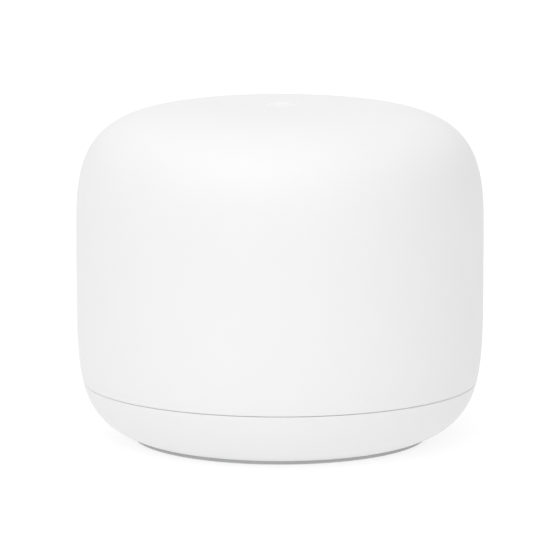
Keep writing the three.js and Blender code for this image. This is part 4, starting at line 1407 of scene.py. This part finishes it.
def silicone():
    """A soft sheet filled with fine pale powder."""
    finish = Finish("thermal_pad", ior=1.42, sheen_weight=0.15)
    specks = finish.spread(finish.cells(0.35), 0.5, 0, 0.05, 0.25)
    color = finish.blend(specks, finish.cloudy((0.3, 0.4, 0.5), 3, 0.06), (0.45, 0.6, 0.75))
    return finish.done(color, finish.uneven(1.5, 0.62, 0.78), finish.noise(0.4, 4), 0.02)


def cast_metal():
    """Die-cast aluminium: satin, with a coarse flowing skin and duller patches."""
    finish = Finish("cast_aluminium", metallic=1.0)
    skin = finish.noise(0.45, 5, roughness=0.65)
    flow = finish.noise(9, 3, (1, 1, 0.25))
    color = finish.blend(flow, (0.55, 0.56, 0.57), (0.68, 0.685, 0.69))
    rough = finish.calculate("ADD", finish.spread(skin, 0.3, 0.46), finish.spread(flow, 0, 0.12))
    return finish.done(color, rough, skin, 0.025)


def jacket():
    """The black extruded jacket of a thin coaxial lead, faintly ribbed by the braid under it."""
    finish = Finish("coax_jacket", ior=1.4)
    color = finish.cloudy((0.03, 0.03, 0.032), 2, 0.1)
    return finish.done(color, finish.uneven(1.2, 0.3, 0.42), finish.noise(0.25, 2, (1, 1, 3)), 0.006)


def film():
    """Amber polyimide over a darker adhesive."""
    finish = Finish("antenna_film", ior=1.6, coat_weight=0.3, coat_roughness=0.15)
    color = finish.cloudy((0.42, 0.19, 0.035), 5, 0.12)
    return finish.done(color, finish.uneven(2.2, 0.28, 0.4), finish.noise(0.8, 3), 0.006)


def clear_plastic():
    """Moulded acrylic, with a barely uneven polish."""
    finish = Finish("clear_guide", ior=1.49, transmission_weight=0.92)
    color = finish.cloudy((0.93, 0.96, 0.97), 4, 0.02)
    return finish.done(color, finish.uneven(1.5, 0.03, 0.1), finish.noise(2, 2), 0.01)


def phosphor():
    """The yellow window of a white light-emitting diode."""
    finish = Finish("led_phosphor", ior=1.45)
    grains = finish.cells(0.08)
    color = finish.blend(grains, (0.85, 0.66, 0.1), (0.95, 0.82, 0.25))
    return finish.done(color, finish.spread(grains, 0.35, 0.5), grains, 0.01)


WHITE = white_cover()
BAY_WHITE = plastic("bay_white", (0.78, 0.78, 0.78), 0.5, 0.3, 0.01)
BASE_GREY = plastic("base_grey", (0.66, 0.66, 0.66), 0.55, 0.35, 0.014)
BUTTON_GREY = plastic("button_grey", (0.55, 0.55, 0.56), 0.5)
BLACK = plastic("black_plastic", (0.022, 0.022, 0.024), 0.42, 0.15, 0.004, 0.1)
FRAME_PLASTIC = plastic("antenna_frame", (0.045, 0.048, 0.054), 0.5, 0.3, 0.012, 0.08)
CHIP = plastic("chip_black", (0.018, 0.018, 0.02), 0.5, 0.07, 0.004, 0.12)
CERAMIC = plastic("ceramic", (0.33, 0.22, 0.12), 0.45, 0.06, 0.003, 0.15)
LED_WHITE = plastic("led_white", (0.86, 0.86, 0.84), 0.4, 0.08, 0.003)
NICKEL = metal("nickel", (0.72, 0.71, 0.69))
GOLD = metal("gold", (0.83, 0.62, 0.26), 0.2)
COPPER = metal("antenna_flex", (0.78, 0.42, 0.24), 0.3)
TIN = metal("tinned_ends", (0.7, 0.7, 0.72), 0.3)
STEEL = metal("screw_steel", (0.5, 0.5, 0.53), 0.3, (1, 1, 1), 0.08)
FOOT_RUBBER = soft_rubber()
THERMAL_PAD = silicone()
ALUMINIUM = cast_metal()
BOARD = solder_mask()
BOARD_EDGE = laminate_edge()
CLEAR = clear_plastic()
JACKET = jacket()
FILM = film()
PHOSPHOR = phosphor()


# ---- The scene ----------------------------------------------------------------------------

build_camera()
build_floor()
build_light()

finish_piece(build_upper_cover(), "upper_cover", "white_cover", WHITE)
finish_piece(build_lower_cover(), "lower_cover", "white_cover", WHITE)
finish_piece(build_foot_ring(), "foot_ring", "foot_rubber", FOOT_RUBBER)
finish_piece(build_base_plate(), "base_plate", "base_grey", BASE_GREY)
finish_piece(build_port_bay(), "port_bay", "bay_white", BAY_WHITE)

for jack in ("lan_jack", "wan_jack"):
    finish_piece(build_jack_shield(jack), f"{jack}_shield", "nickel", NICKEL)
    finish_piece(build_jack_insert(jack), f"{jack}_insert", "black_plastic", BLACK)
    finish_piece(build_jack_contacts(jack), f"{jack}_contacts", "gold", GOLD)
finish_piece(build_power_body(), "power_jack_body", "black_plastic", BLACK)
finish_piece(build_power_pin(), "power_jack_pin", "nickel", NICKEL)
finish_piece(build_power_contact(), "power_jack_contact", "nickel", NICKEL)

finish_piece(build_reset_button(), "reset_button", "button_grey", BUTTON_GREY, body="reset_button")
finish_piece(build_plunger(), "reset_switch_plunger", "button_grey", BUTTON_GREY, body="switch_plunger")
finish_piece(build_switch_body(), "reset_switch_body", "black_plastic", BLACK, NICKEL)

finish_piece(build_main_board(), "main_board", "board_green", BOARD, BOARD_EDGE, CERAMIC, TIN)
for shielded in ("cpu", "radio_5g", "radio_2g"):
    finish_piece(build_lid(f"{shielded}_shield"), f"{shielded}_shield", "nickel", NICKEL)
    pad = refined(f"{shielded}_thermal_pad", f"{shielded}_pad_sheet", 0.18, 3)
    finish_piece(pad, f"{shielded}_thermal_pad", "thermal_pad", THERMAL_PAD)
for chip in ("cpu", "ram", "flash", "radio_5g", "radio_2g", "ethernet"):
    finish_piece(build_chip(f"{chip}_chip"), f"{chip}_chip", "chip_black", CHIP)
finish_piece(refined("power_inductor", "power_inductor_core", 0.7, 4), "power_inductor", "chip_black", CHIP)
finish_piece(refined("lan_magnetics", "lan_magnetics_case", 0.4, 3), "lan_magnetics", "black_plastic", BLACK)
for number in (1, 2):
    capacitor = f"bulk_capacitor_{number}"
    finish_piece(build_capacitor(capacitor), capacitor, "screw_steel", ALUMINIUM, BLACK)
finish_piece(build_status_led(), "status_led", "led_white", LED_WHITE, PHOSPHOR)
finish_piece(refined("light_pipe", "light_pipe_moulding", 0.12, 3), "light_pipe", "clear_guide", CLEAR)

finish_piece(build_heat_sink(), "heat_sink", "cast_aluminium", ALUMINIUM)
finish_piece(build_antenna_frame(), "antenna_frame", "antenna_frame", FRAME_PLASTIC)
for index, antenna in enumerate(ANTENNAS):
    direction = ANTENNA_FIRST_DEG + index * ANTENNA_PITCH_DEG
    finish_piece(build_antenna(antenna, direction), antenna, "antenna_flex", FILM, COPPER)
    finish_piece(build_lead(antenna, direction), f"{antenna}_lead", "coax_jacket", JACKET, GOLD)
for kind, count in (("case_screw", len(CASE_SCREWS)), ("frame_screw", len(FRAME_SCREWS))):
    for number in range(1, count + 1):
        screw = build_screw(f"{kind}_{number}", kind)
        finish_piece(screw, f"{kind}_{number}", "screw_steel", STEEL)
